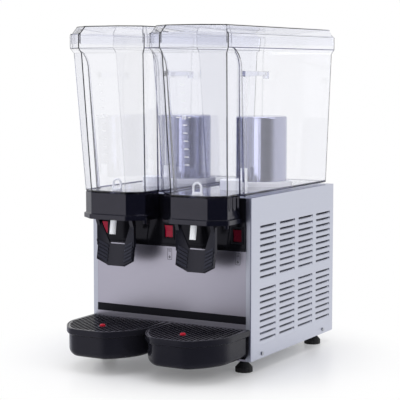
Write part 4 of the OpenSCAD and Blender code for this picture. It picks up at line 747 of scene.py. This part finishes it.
bosses += [block((low_x, PIVOT_Y - BOSS_Y, z_inside + AIR), (high_x, PIVOT_Y + BOSS_Y, BOSS_TOP), BOSS_EDGE)
           for low_x, high_x in (BOSS_X, (-BOSS_X[1], -BOSS_X[0]))]
both("nose_shell", [skin(rings, loop=True), *bosses], "nose_cover", sharp=50.0)

# %% [markdown]
# ## Drip trays
# Each tray is a deep moulded tub with a band round its rim, hung on the front panel by two hooks. Its front
# is flat in the middle and swings back in wide curves. The outline is the CAD outline, drawn finely and
# smoothed by averaging along it, because a moulded tub has no kinks.

# %% Outline of the trays
TRAY_HALF, TRAY_SIDE, TRAY_SIDE_Y, TRAY_FLAT, TRAY_REACH = 94.0, 93.0, -88.0, 39.0, -168.0
TRAY_CORNER_R, TRAY_SEAT, TRAY_STEP = 145.0, -0.3, 1.0
# Widths of the averaging at the rear and in front, and where the one starts to turn into the other
SOFTEN_MM, SOFTEN_Y, SOFTEN_RUN = (10.0, 46.0), TRAY_SIDE_Y / 3, 30.0
Z_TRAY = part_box("left_drip_tray")[1][2] / MM


def arc_between(p, q, r, steps):
    """Arc from p to q, anticlockwise, with radius r: its centre lies to the left of the line from p to q."""
    p, q = np.array(p), np.array(q)
    along = q - p
    length = np.linalg.norm(along)
    centre = (p + q) / 2 + np.sqrt(r * r - length * length / 4) * np.array((-along[1], along[0])) / length
    start, stop = (np.arctan2(*(e - centre)[::-1]) for e in (p, q))
    a = start + np.linspace(0.0, 1.0, steps) * ((stop - start) % (2 * np.pi))
    return centre + r * np.column_stack([np.cos(a), np.sin(a)])


def averaged(outline, width):
    """Each point of a closed outline, averaged with its neighbours by a bell of this width."""
    bell = np.hanning(int(width / TRAY_STEP) | 1)
    reach = len(bell) // 2
    return sum(weight * np.roll(outline, shift - reach, 0) for shift, weight in enumerate(bell / bell.sum()))


left_arc = arc_between((-TRAY_SIDE, TRAY_SIDE_Y), (-TRAY_FLAT, TRAY_REACH), TRAY_CORNER_R, 40)
right_arc = arc_between((TRAY_FLAT, TRAY_REACH), (TRAY_SIDE, TRAY_SIDE_Y), TRAY_CORNER_R, 40)
rear = np.array((TRAY_HALF, TRAY_SEAT))
tray = resampled(np.vstack([rear * (-1, 1), left_arc, right_arc, rear]), TRAY_STEP)
# The rear corners stay tight, and the front ones are smoothed more
crisp, soft_front = (averaged(tray, width) for width in SOFTEN_MM)
tray = crisp + (soft_front - crisp) * smooth_step((SOFTEN_Y - crisp[:, 1:]) / SOFTEN_RUN)
tray_normal = outward(tray)


def tray_ring(w, z):
    """The tray's outline drawn in by w along its normals."""
    return at_height(tray - tray_normal * w, z)


print("tray outline of", len(tray), "points")

# %% Drip trays
TRAY_H, RIM_H, RIM_STEP, RIM_BLEND, TRAY_WALL, GRID_T = 58.0, 13.0, 5.0, 4.0, 3.0, 5.0
TUB_R, TUB_INNER_R, LEDGE_IN, LEDGE_EDGE, TRAY_LIP, HOOK_ROOT, HOOK_EDGE = 12.0, 6.0, 8.0, 0.5, 1.0, 1.0, 0.6
HOOK_X, HOOK_W, HOOK_DROP, HOOK_T, HOOK_REACH, HOOK_LIP = 60.0, 22.0, 18.0, 8.0, (1.4, 4.4), 7.0
FLOAT_Y, FLOAT_PIN = -109.0, (2.0, 18.0)
z_tub, z_ledge = Z_TRAY - TRAY_H, Z_TRAY - GRID_T
z_well, z_band = z_tub + TRAY_WALL, Z_TRAY - RIM_H - RIM_BLEND / 2
rings = [tray_ring(RIM_STEP + w, z_tub + z) for w, z in edge_round(TUB_R, 7)]
rings += [tray_ring(RIM_STEP * (1 - smooth_step(t)), z_band + RIM_BLEND * t)
          for t in np.linspace(0.0, 1.0, 7)]
rings += [tray_ring(TRAY_WALL / 2 * (1 - np.cos(a)), Z_TRAY + TRAY_LIP * (np.sin(a) - 1))
          for a in np.linspace(0.0, np.pi, 7)]
rings += [tray_ring(TRAY_WALL, z_ledge), tray_ring(LEDGE_IN - LEDGE_EDGE, z_ledge)]
rings += [tray_ring(LEDGE_IN, z_ledge - LEDGE_EDGE)]
rings += [tray_ring(LEDGE_IN + w, z_well + z) for w, z in edge_round(TUB_INNER_R, 5)[::-1]]
z_hook, z_lip = Z_TRAY - HOOK_DROP, Z_TRAY - HOOK_DROP - HOOK_T
fittings = [post(0.0, FLOAT_Y, FLOAT_PIN[0], z_well + AIR, z_well + FLOAT_PIN[1], PIN_EDGE)]
for x in (-HOOK_X, HOOK_X):
    low_x, high_x = x - HOOK_W / 2, x + HOOK_W / 2
    fittings.append(block((low_x, -TRAY_WALL - HOOK_ROOT, z_lip), (high_x, HOOK_REACH[1], z_hook), HOOK_EDGE))
    lip_low = (low_x, HOOK_REACH[0], z_lip - HOOK_LIP)
    fittings.append(block(lip_low, (high_x, HOOK_REACH[1], z_lip), HOOK_EDGE))
both("tray_tub", [skin(rings), *fittings], "drip_tray", finish="tray_black", sharp=50.0)

# %% [markdown]
# ## Side panels
# The sides are folded steel sheet with rows of louvres. A louvre is pressed: the sheet is cut along a line
# and the metal below it is pushed inwards. A cut box would show a plain slot, so the whole panel is one grid
# instead. Its columns close up at the louvres' ends, its rows at the cuts, and a formula pushes the grid in.

# %% Side panels
FLANGE, FOLD_R, SHEET, SHEET_SLIP, FOLD_CLEAR, FOLD_EDGE = 11.6, 2.0, 1.2, 0.2, 1.3, 0.3
LOUVRE_COLS, LOUVRE_ROWS, LOUVRE_Y, LOUVRE_PITCH_Y, LOUVRE_L = 4, 9, 39.5, 90.0, 72.0
LOUVRE_TOP, LOUVRE_PITCH_Z, LOUVRE_DEEP, LOUVRE_LIP, LOUVRE_FALL, ABOVE_CUT = 59.0, 12.94, 7.5, 1.4, 8.2, 1.0
panel_low, panel_high = (np.array(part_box("right_side_panel")[i]) / MM for i in (0, 1))
edge_x, depth = panel_high[0], panel_high[1] - panel_low[1]
# One line round the panel from front to rear: flange, fold, face with its columns, fold, flange
spread = 0.5 - 0.5 * np.cos(np.linspace(0.0, np.pi, 17))
column_y = LOUVRE_Y + LOUVRE_PITCH_Y * np.arange(LOUVRE_COLS)
fold = np.linspace(0.0, np.pi / 2, 5)
fold_x, fold_y = edge_x - FOLD_R * (1 - np.sin(fold)), FOLD_R * (1 - np.cos(fold))
face_y = (column_y[:, None] + LOUVRE_L * spread).ravel()
flange_x, face_x = [edge_x - FLANGE], np.full(len(face_y), edge_x)
path_x = np.concatenate([flange_x, fold_x, face_x, fold_x[::-1], flange_x])
path_y = np.concatenate([[0.0], fold_y, face_y, depth - fold_y[::-1], [depth]])
# Share of the push along each louvre: full in the middle, with round ends by a sixth power
along = (path_y[:, None] - column_y) / LOUVRE_L
across = np.sqrt(np.clip(1 - np.abs(2 * along - 1) ** 6, 0.0, 1.0)).max(1)
# Rows from the top down; the one in the middle has no louvres
level = np.delete(np.arange(2 * LOUVRE_ROWS + 1), LOUVRE_ROWS)
cut_z = panel_high[2] - LOUVRE_TOP - level * LOUVRE_PITCH_Z
# Places of the rows below a lip, as shares of its fall
fall = np.array((0.0, 0.1, 0.22, 0.36, 0.55, 0.78, 1.0))
pressed_z = cut_z[:, None] - LOUVRE_LIP - LOUVRE_FALL * fall
row_z = np.column_stack([cut_z + ABOVE_CUT, cut_z, pressed_z]).ravel()
row_in = np.tile(np.concatenate([[0.0, 0.0], (1 - fall) ** 2]), len(level))
row_z = np.concatenate([[panel_high[2]], row_z, [panel_low[2]]])
row_in = np.concatenate([[0.0], row_in, [0.0]])
x = path_x - LOUVRE_DEEP * row_in[:, None] * across
y, z = np.broadcast_to(path_y + FRONT_Y, x.shape), np.broadcast_to(row_z[:, None], x.shape)
sheet = np.stack([x, y, z], -1).reshape(-1, 3)
i, j = np.arange(len(row_z) - 1)[:, None], np.arange(len(path_y) - 1)[None, :]
in_louvre = (np.abs(along[:-1] + along[1:] - 1) < 1).any(1)
is_cut = np.isin(i[:, 0], 2 + (len(fall) + 2) * np.arange(len(level)))
n = len(path_y)
quads = np.stack([i * n + j, (i + 1) * n + j, (i + 1) * n + j + 1, i * n + j + 1], -1)
quads = quads[~(is_cut[:, None] & in_louvre[None, :])]
fold_low = (edge_x - FLANGE, FOLD_CLEAR + FRONT_Y, panel_high[2] - SHEET)
fold_high = (edge_x - SHEET, depth - FOLD_CLEAR + FRONT_Y, panel_high[2])
points, faces = block(fold_low, fold_high, FOLD_EDGE)
for side, flip in (("left", -1), ("right", 1)):
    mirror, node = (flip, 1, 1), f"{side}_side_panel"
    panel = new_piece(f"{side}_louvred_side", [(sheet * mirror, [quads[:, ::flip]])], node, sharp=40.0)
    thick = panel.modifiers.new("sheet", "SOLIDIFY")
    thick.thickness, thick.offset = (SHEET - SHEET_SLIP) * MM, -1.0
    panel.modifiers.move(0, 1)
    new_piece(f"{side}_side_top_fold", [(points * mirror, [f[:, ::flip] for f in faces])],
              body=BODY_OF[node], slot="side_steel")
    print(panel.name, len(panel.data.polygons), "faces")

# %% [markdown]
# ## Drums, seals and floats
# The cooling drums are drawn steel cups, the seals round them are turned rings, and the red floats are
# moulded round a bore. A cylinder would do for each, but a real one has no sharp edge, and a polished drum
# shows its round edge as a bright line. So each is a profile, carried round its axis in small steps.

# %% Turned pieces
DRUM_R, DRUM_H, DRUM_EDGE, DRUM_SHEET, POLE_R = 55.0, 156.0, 4.0, 1.2, 2.0
SEAL_OUT, SEAL_H, SEAL_EDGE, SEAL_CHAMFER, SEAL_SLIP = 66.0, 17.0, 3.0, 1.0, 0.05
FLOAT_R, FLOAT_H, FLOAT_EDGE, FLOAT_GAP = 16.0, 14.0, 0.6, 0.4
BUTTON_R, STEM_R, BUTTON_RISE = 6.0, 5.0, 4.0
FLOAT_TOP_EDGE, BUTTON_EDGE, BUTTON_POLE_R = 1.0, 3.0, 0.5


def top_edge(r, z, edge):
    """Points of a rounded top edge, from the side of radius r to the top at height z."""
    return [(r - w, z - d) for w, d in edge_round(edge, 8)[::-1]]


z_drum, z_seal = Z_TOP + DRUM_H, Z_TOP + SEAL_H
ceiling, cup_r, seal_in = z_drum - DRUM_SHEET, DRUM_R - DRUM_SHEET, DRUM_R + SEAL_SLIP
drum = [(POLE_R, ceiling)] + top_edge(cup_r, ceiling, DRUM_EDGE)[::-1] + [(cup_r, Z_TOP), (DRUM_R, Z_TOP)]
drum += top_edge(DRUM_R, z_drum, DRUM_EDGE) + [(POLE_R, z_drum)]
seal = [(SEAL_OUT, Z_TOP)] + top_edge(SEAL_OUT, z_seal, SEAL_EDGE)
seal += [(seal_in + SEAL_CHAMFER, z_seal), (seal_in, z_seal - SEAL_CHAMFER), (seal_in, Z_TOP)]
float_low, bore_r, button_top = z_well + FLOAT_GAP, FLOAT_PIN[0] + SEAL_SLIP, Z_TRAY + BUTTON_RISE
float_top, bore_top = float_low + FLOAT_H, z_well + FLOAT_PIN[1] + 2 * FLOAT_GAP
button = [(bore_r, bore_top), (bore_r, float_low), (FLOAT_R - FLOAT_EDGE, float_low)]
button += [(FLOAT_R, float_low + FLOAT_EDGE)] + top_edge(FLOAT_R, float_top, FLOAT_TOP_EDGE)
button += [(STEM_R, float_top), (STEM_R, z_ledge), (BUTTON_R, z_ledge)]
button += top_edge(BUTTON_R, button_top, BUTTON_EDGE) + [(BUTTON_POLE_R, button_top)]
both("drum_shell", [turned(drum, DRUM_Y)], "cooling_drum", sharp=40.0)
both("seal_ring", [turned(seal, DRUM_Y, loop=True)], "drum_seal", sharp=40.0)
both("float_button", [turned(button, FLOAT_Y, n=48)], "float", sharp=40.0)

# %% [markdown]
# ## Feet
# Each foot is a moulded glide with a fluted base that a hand can turn, a cone up to its neck and a stud in
# the base pan. It is turned like the drums, but the rings of its base are drawn in at twelve flutes.

# %% Feet
FOOT_R, FOOT_BASE_R, FOOT_FLUTES, FOOT_FLUTE_DEEP = 18.0, 17.0, 12, 1.0
# Radius and height of each ring, from the floor up
FOOT = ((17.3, 0.0), (18.0, 0.7), (18.0, 9.0), (17.4, 10.0), (8.6, 20.0), (7.6, 22.0), (7.4, 24.9),
        (4.0, 24.95), (4.0, 36.5))


def foot_ring(r, z):
    """Circle of radius r at height z; the base's rings are drawn in by the fourth power of a cosine."""
    ring = circle(r, 144)
    a = np.arctan2(ring[:, 1], ring[:, 0])
    dip = FOOT_FLUTE_DEEP * np.maximum(np.cos(FOOT_FLUTES * a), 0) ** 4 * (r > FOOT_BASE_R)
    return at_height(ring * (1 - dip / r)[:, None], z)


foot, foot_faces = skin([foot_ring(r, z) for r, z in FOOT])
foot_low, foot_high = (np.array(corner[:2]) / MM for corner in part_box("feet"))
foot_x, foot_y = np.array([foot_low + FOOT_R, foot_high - FOOT_R]).T
feet = [(foot + (x, y, 0.0), foot_faces) for x in foot_x for y in foot_y]
new_piece("turned_feet", feet, "feet", sharp=40.0)
print("feet at x", foot_x, "and y", foot_y, "mm")

# %% [markdown]
# ## Spray arms
# Each pump sends the drink up a clear riser, and a flat arm spreads it over the drum. The riser is a tube
# with a true bore. The arm is a bar that grows thinner towards a small square outlet: a rounded rectangle
# whose height shrinks while it is carried backwards.

# %% Spray arms
RISER_Y, RISER_R, RISER_WALL, RISER_Z = 147.0, 5.0, 1.4, (28.0, 233.0)
ARM_Y, ARM_TOP, ARM_HEIGHT, ARM_HALF, ARM_EDGE = (141.5, 243.0), (246.0, 244.0), (12.0, 8.0), 4.5, 1.2
OUTLET_BOX, OUTLET_EDGE = ((-5.0, 241.5, 229.0), (5.0, 252.0, 244.5)), 0.8
low, high = Z_FLOOR + np.array(RISER_Z)
bore = RISER_R - RISER_WALL
riser = turned([(RISER_R, low), (RISER_R, high), (bore, high), (bore, low)], RISER_Y, loop=True, n=32)


def arm_ring(t):
    """Section of the arm at a share t of its length: a rounded rectangle under the arm's sloping top."""
    y, top, tall = (a + (b - a) * t for a, b in (ARM_Y, ARM_TOP, ARM_HEIGHT))
    low, high = Z_FLOOR + top - tall, Z_FLOOR + top
    section = rounded(rectangle(-ARM_HALF, ARM_HALF, -high, -low), ARM_EDGE, 4)
    return np.column_stack([section[:, 0], np.full(len(section), y), -section[:, 1]])


arm = skin([arm_ring(t) for t in (0.0, 0.5, 1.0)])
outlet = block(*(np.array(corner) + (0.0, 0.0, Z_FLOOR) for corner in OUTLET_BOX), OUTLET_EDGE)
both("spray_arm", [riser, arm, outlet], "spray_tube")

# %% [markdown]
# ## Drip grids
# A grid lies in each tray: a rim, bars from front to back, lower bars across, and a ring round the float's
# button. The bars end where the tray's own outline is, read off at each bar, so they follow its curve.

# %% Drip grids
GRID_GAP, GRID_RIM, GRID_PITCH, GRID_BAR, GRID_EDGE = 0.4, 4.0, 9.5, 3.6, 1.1
GRID_IN = TRAY_WALL + GRID_GAP
RIM_EDGE, RING_EDGE, RING_GAP, RING_W, RING_CLEAR, REAR_GAP = 0.8, 0.6, 0.4, 3.0, 1.0, 0.3
BARS_EACH_SIDE, CROSS_BARS, CROSS_DROP = 9, 3, 2.6
rim_path = tray - tray_normal * (GRID_IN + GRID_RIM / 2)
ahead = rim_path[rim_path[:, 1] < TRAY_SEAT - GRID_IN - GRID_RIM]
ahead = ahead[np.argsort(ahead[:, 0])]
rim_in, z_rim = GRID_IN + GRID_RIM, Z_TRAY - RIM_EDGE
rim = ((GRID_IN, z_ledge), (GRID_IN, z_rim), (GRID_IN + RIM_EDGE, Z_TRAY), (rim_in - RIM_EDGE, Z_TRAY),
       (rim_in, z_rim), (rim_in, z_ledge))
ring_in, ring_out = BUTTON_R + RING_GAP, BUTTON_R + RING_GAP + RING_W
ring = ((ring_out, z_ledge), (ring_out, Z_TRAY - RING_EDGE), (ring_out - RING_EDGE, Z_TRAY),
        (ring_in, Z_TRAY), (ring_in, z_ledge))
grid = [skin([tray_ring(w, z) for w, z in rim], loop=True), turned(ring, FLOAT_Y, loop=True, n=48)]
rear_y = TRAY_SEAT - GRID_IN - REAR_GAP
before, behind = FLOAT_Y - ring_in - RING_CLEAR, FLOAT_Y + ring_in + RING_CLEAR
bar_x = GRID_PITCH * np.arange(-BARS_EACH_SIDE, BARS_EACH_SIDE + 1)
for x, front_y in zip(bar_x, np.interp(bar_x, ahead[:, 0], ahead[:, 1])):
    runs = [(front_y, rear_y)] if abs(x) > ring_in else [(front_y, before), (behind, rear_y)]
    grid += [block((x - GRID_BAR / 2, low, z_ledge), (x + GRID_BAR / 2, high, Z_TRAY), GRID_EDGE)
             for low, high in runs]
right_side = ahead[ahead[:, 0] > 0]
right_side = right_side[np.argsort(right_side[:, 1])]
for y in TRAY_REACH * np.arange(1, CROSS_BARS + 1) / (CROSS_BARS + 1):
    half = np.interp(y, right_side[:, 1], right_side[:, 0])
    if abs(y - FLOAT_Y) > ring_in + GRID_BAR:
        grid.append(block((-half, y, z_ledge), (half, y + GRID_BAR, Z_TRAY - CROSS_DROP), GRID_EDGE))
both("slotted_grid", grid, "drip_grid", sharp=40.0)

# %% [markdown]
# ## Rounded edges on the plain mouldings
# Levers, switches, the tap panel and other plain mouldings have the right shape in CAD, but sharp edges. A
# moulded edge is always a little round and catches light. Each is copied, its loose triangles are joined
# into whole faces, and a bevel rounds its edges by a real radius.

# %% Softened copies
# Edge radius in millimetres of each copied piece
SOFT_EDGES = {"tap_panel": 0.5, "trim_strip": 0.4, "switch_housings": 0.5, "left_rocker": 1.0,
              "middle_rocker": 1.0, "right_rocker": 1.0, "thermostat_knob": 0.8, "cable_gland": 0.5,
              "top_deck": 0.6}
SIDE_EDGES = {"lever": 1.3, "tap_body": 0.5, "pump_cover": 0.8, "valve_plunger": 0.4}
SOFT_EDGES.update({f"{side}_{name}": edge for side in SIDES for name, edge in SIDE_EDGES.items()})
# Points nearer than this are joined, faces that turn less become one, and edges that turn more are rounded
WELD, FLAT_TURN, EDGE_TURN = 0.002 * MM, np.radians(0.5), np.radians(35.0)
OWN_FINISH = {"right_rocker": "dark_lens", "tap_panel": "panel_black"}


def softened(node, edge):
    """Copy of a CAD piece with its triangles merged, its flat faces joined and its edges rounded."""
    shape = bmesh.new()
    shape.from_mesh(frame["nodes"][node].data)
    bmesh.ops.remove_doubles(shape, verts=shape.verts, dist=WELD)
    bmesh.ops.dissolve_limit(shape, angle_limit=FLAT_TURN, verts=shape.verts, edges=shape.edges)
    mesh = bpy.data.meshes.new(f"{node}_moulded")
    shape.to_mesh(mesh)
    shape.free()
    piece = dress(mesh.name, mesh, node, finish=OWN_FINISH.get(node))
    bevel = piece.modifiers.new("rounded edges", "BEVEL")
    bevel.width, bevel.segments, bevel.limit_method = edge * MM, 2, "ANGLE"
    bevel.angle_limit = EDGE_TURN
    piece.modifiers.move(1, 0)
    return piece


soft = {node: softened(node, edge) for node, edge in SOFT_EDGES.items()}
print("softened", len(soft), "pieces")

# %% [markdown]
# ## Valve springs
# A wire spring holds each valve's plunger down. Its upper end stays in the valve body, and its coils close
# up while the lever lifts the plunger. The CAD coil is right, so it is copied.

# %% Valve springs
for side in SIDES:
    node = f"{side}_valve_spring"
    (low_x, low_y, low_z), (high_x, high_y, high_z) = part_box(node)
    wire = frame["nodes"][node].data.copy()
    wire.materials.clear()
    coil = dress(f"{side}_valve_coil", wire, node)
    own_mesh(coil)
    print(coil.name, "from", round(low_z / MM, 1), "to", round(high_z / MM, 1), "mm")

# %% [markdown]
# ## Ribs on the levers
# A cup is pushed against the paddle, and slanted ribs on its two wings give it grip. Each rib is a low
# rounded bar, drawn flat, sheared along the wing's bottom edge and then turned into the wing's plane.

# %% Lever ribs
PADDLE, PADDLE_TILT, PADDLE_T = (0.0, -46.0, 252.0), np.radians(10.0), 6.0
WING_X, WING_TURN = 18.7, np.radians(15.5)
RIB_S, RIB_D, RIB_LOW, RIB_H = (3.0, 25.0), (-0.6, 1.8), -39.0, 5.4
RIB_PITCH, RIBS, RIB_SLOPE, RIB_ROUND = 7.4, 5, 12.0 / 27.0, (0.5, 2.8, 0.9)


def lever_rib(k, flip):
    """Rib k of a wing: a flat bar (s, h) with depth d, sheared by the slope; then turned by the wing's angle
    about the upright edge, mirrored for the other wing, and tilted with the paddle."""
    low = RIB_LOW + RIB_PITCH * k
    bar, faces = block((RIB_S[0], low, RIB_D[0]), (RIB_S[1], low + RIB_H, RIB_D[1]), *RIB_ROUND)
    s, h, y = bar[:, 0], bar[:, 1] + RIB_SLOPE * bar[:, 0], -PADDLE_T - bar[:, 2]
    x = flip * (WING_X + s * np.cos(WING_TURN) + y * np.sin(WING_TURN))
    y = y * np.cos(WING_TURN) - s * np.sin(WING_TURN)
    turned_up = np.column_stack([x, y * np.cos(PADDLE_TILT) + h * np.sin(PADDLE_TILT),
                                 h * np.cos(PADDLE_TILT) - y * np.sin(PADDLE_TILT)])
    return turned_up + PADDLE, [f[:, ::flip] for f in faces]


ribs = [lever_rib(k, flip) for k in range(RIBS) for flip in (1, -1)]
# The ribs take a lighter black than the lever: painted highlight on their raised faces
both("lever_ribs", ribs, on="lever", slot="black_lever", finish="rib_black_painted_light", sharp=50.0)

# %% [markdown]
# ## Printed marks
# The bowls carry a printed level scale on their front, and plain symbols are printed under the switches. Ink
# is a film, too thin to see from its edge. It is modelled as thin closed plates on the surface, because a
# shape made of faces keeps crisp edges at any distance.

# %% Level scale
INK, NUMERAL_Z, NUMERAL_HALF, ONE_X, ZERO_X = 0.15, 520.0, 3.8, (-4.5, -3.0), (-1.1, 4.3)
TICK_X, TICK_H, TICK_PITCH = (-4.5, 5.0), 1.4, 15.7
TICKS = np.array((-6, -5, -4, -3, -2, -1, 1, 2, 3, 4))
DASHES, DASH_HALF, ZERO_LINE, ZERO_R, HOLE_LEAST_R = ((-18.5, -9.0), (8.0, 14.0)), 0.8, 1.4, 2.4, 0.3


def bowl_front(z):
    """Depth of the bowl's sloping front at a height."""
    return -(BOWL_LOW[1] + (BOWL_HIGH[1] - BOWL_LOW[1]) * (z - Z_BOWL) / (Z_FLARE - Z_BOWL))


def printed(outline, face, hole=None):
    """Plate of ink over an outline of x and z, on a surface whose depth is face(z), with a hole if given."""
    lift = [(outline, AIR), (outline, INK)] + ([] if hole is None else [(hole, INK), (hole, AIR)])
    rings = [np.column_stack([line[:, 0], face(line[:, 1]) - d, line[:, 1]]) for line, d in lift]
    return skin(rings, loop=hole is not None)


def framed(low_x, high_x, low_z, high_z, line, r):
    """Outline and hole of a rounded frame."""
    hole = rectangle(low_x + line, high_x - line, low_z + line, high_z - line)
    return rounded(rectangle(low_x, high_x, low_z, high_z), r), rounded(hole, max(r - line, HOLE_LEAST_R))


scale = [printed(rectangle(*TICK_X, z, z + TICK_H), bowl_front) for z in NUMERAL_Z + TICK_PITCH * TICKS]
low, high = NUMERAL_Z - NUMERAL_HALF, NUMERAL_Z + NUMERAL_HALF
zero, zero_hole = framed(*ZERO_X, low, high, ZERO_LINE, ZERO_R)
scale += [printed(rectangle(*ONE_X, low, high), bowl_front), printed(zero, bowl_front, zero_hole)]
scale += [printed(rectangle(*ends, NUMERAL_Z - DASH_HALF, NUMERAL_Z + DASH_HALF), bowl_front)
          for ends in DASHES]
both("level_scale", scale, on="bowl", slot="white_plastic", finish="white_ink")

# %% Switch symbols
ICON_X, ICON_Z, ICON_SIZE, ICON_LINE, ICON_R = (0.0, 160.0), (221.0, 245.0), 11.0, 0.8, 1.6
DROP, DROP_HOLE = np.array(((0.0, 2.4), (2.8, 5.6), (0.0, 8.8), (-2.8, 5.6))), 0.35
STROKE_HALF, STROKE_H, STROKE_DOWN = 3.2, 1.1, (4.2, 6.8)
icons = []
low, high = ICON_Z
for x in ICON_X:
    outer, hole = framed(x - ICON_SIZE / 2, x + ICON_SIZE / 2, low, high, ICON_LINE, ICON_R)
    drop = DROP + (x, low)
    middle = drop.mean(0)
    icons.append(printed(outer, np.zeros_like, hole))
    icons.append(printed(drop, np.zeros_like, middle + DROP_HOLE * (drop - middle)))
    for z in (high - STROKE_DOWN[0], high - STROKE_DOWN[1]):
        icons.append(printed(rectangle(x - STROKE_HALF, x + STROKE_HALF, z, z + STROKE_H), np.zeros_like))
icons = [(points + (0.0, FRONT_Y, 0.0), faces) for points, faces in icons]
new_piece("switch_symbols", icons, body=BODY_OF["front_panel"], slot="black_satin", finish="dark_ink")
print("scale of", len(TICKS), "marks,", len(ICON_X), "symbols")

# %% [markdown]
# ## Sizes
# The size of the dressed machine is printed.

# %% Size of the dressed machine
low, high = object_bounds()
print("size", [round(b - a, 4) for a, b in zip(low, high)])
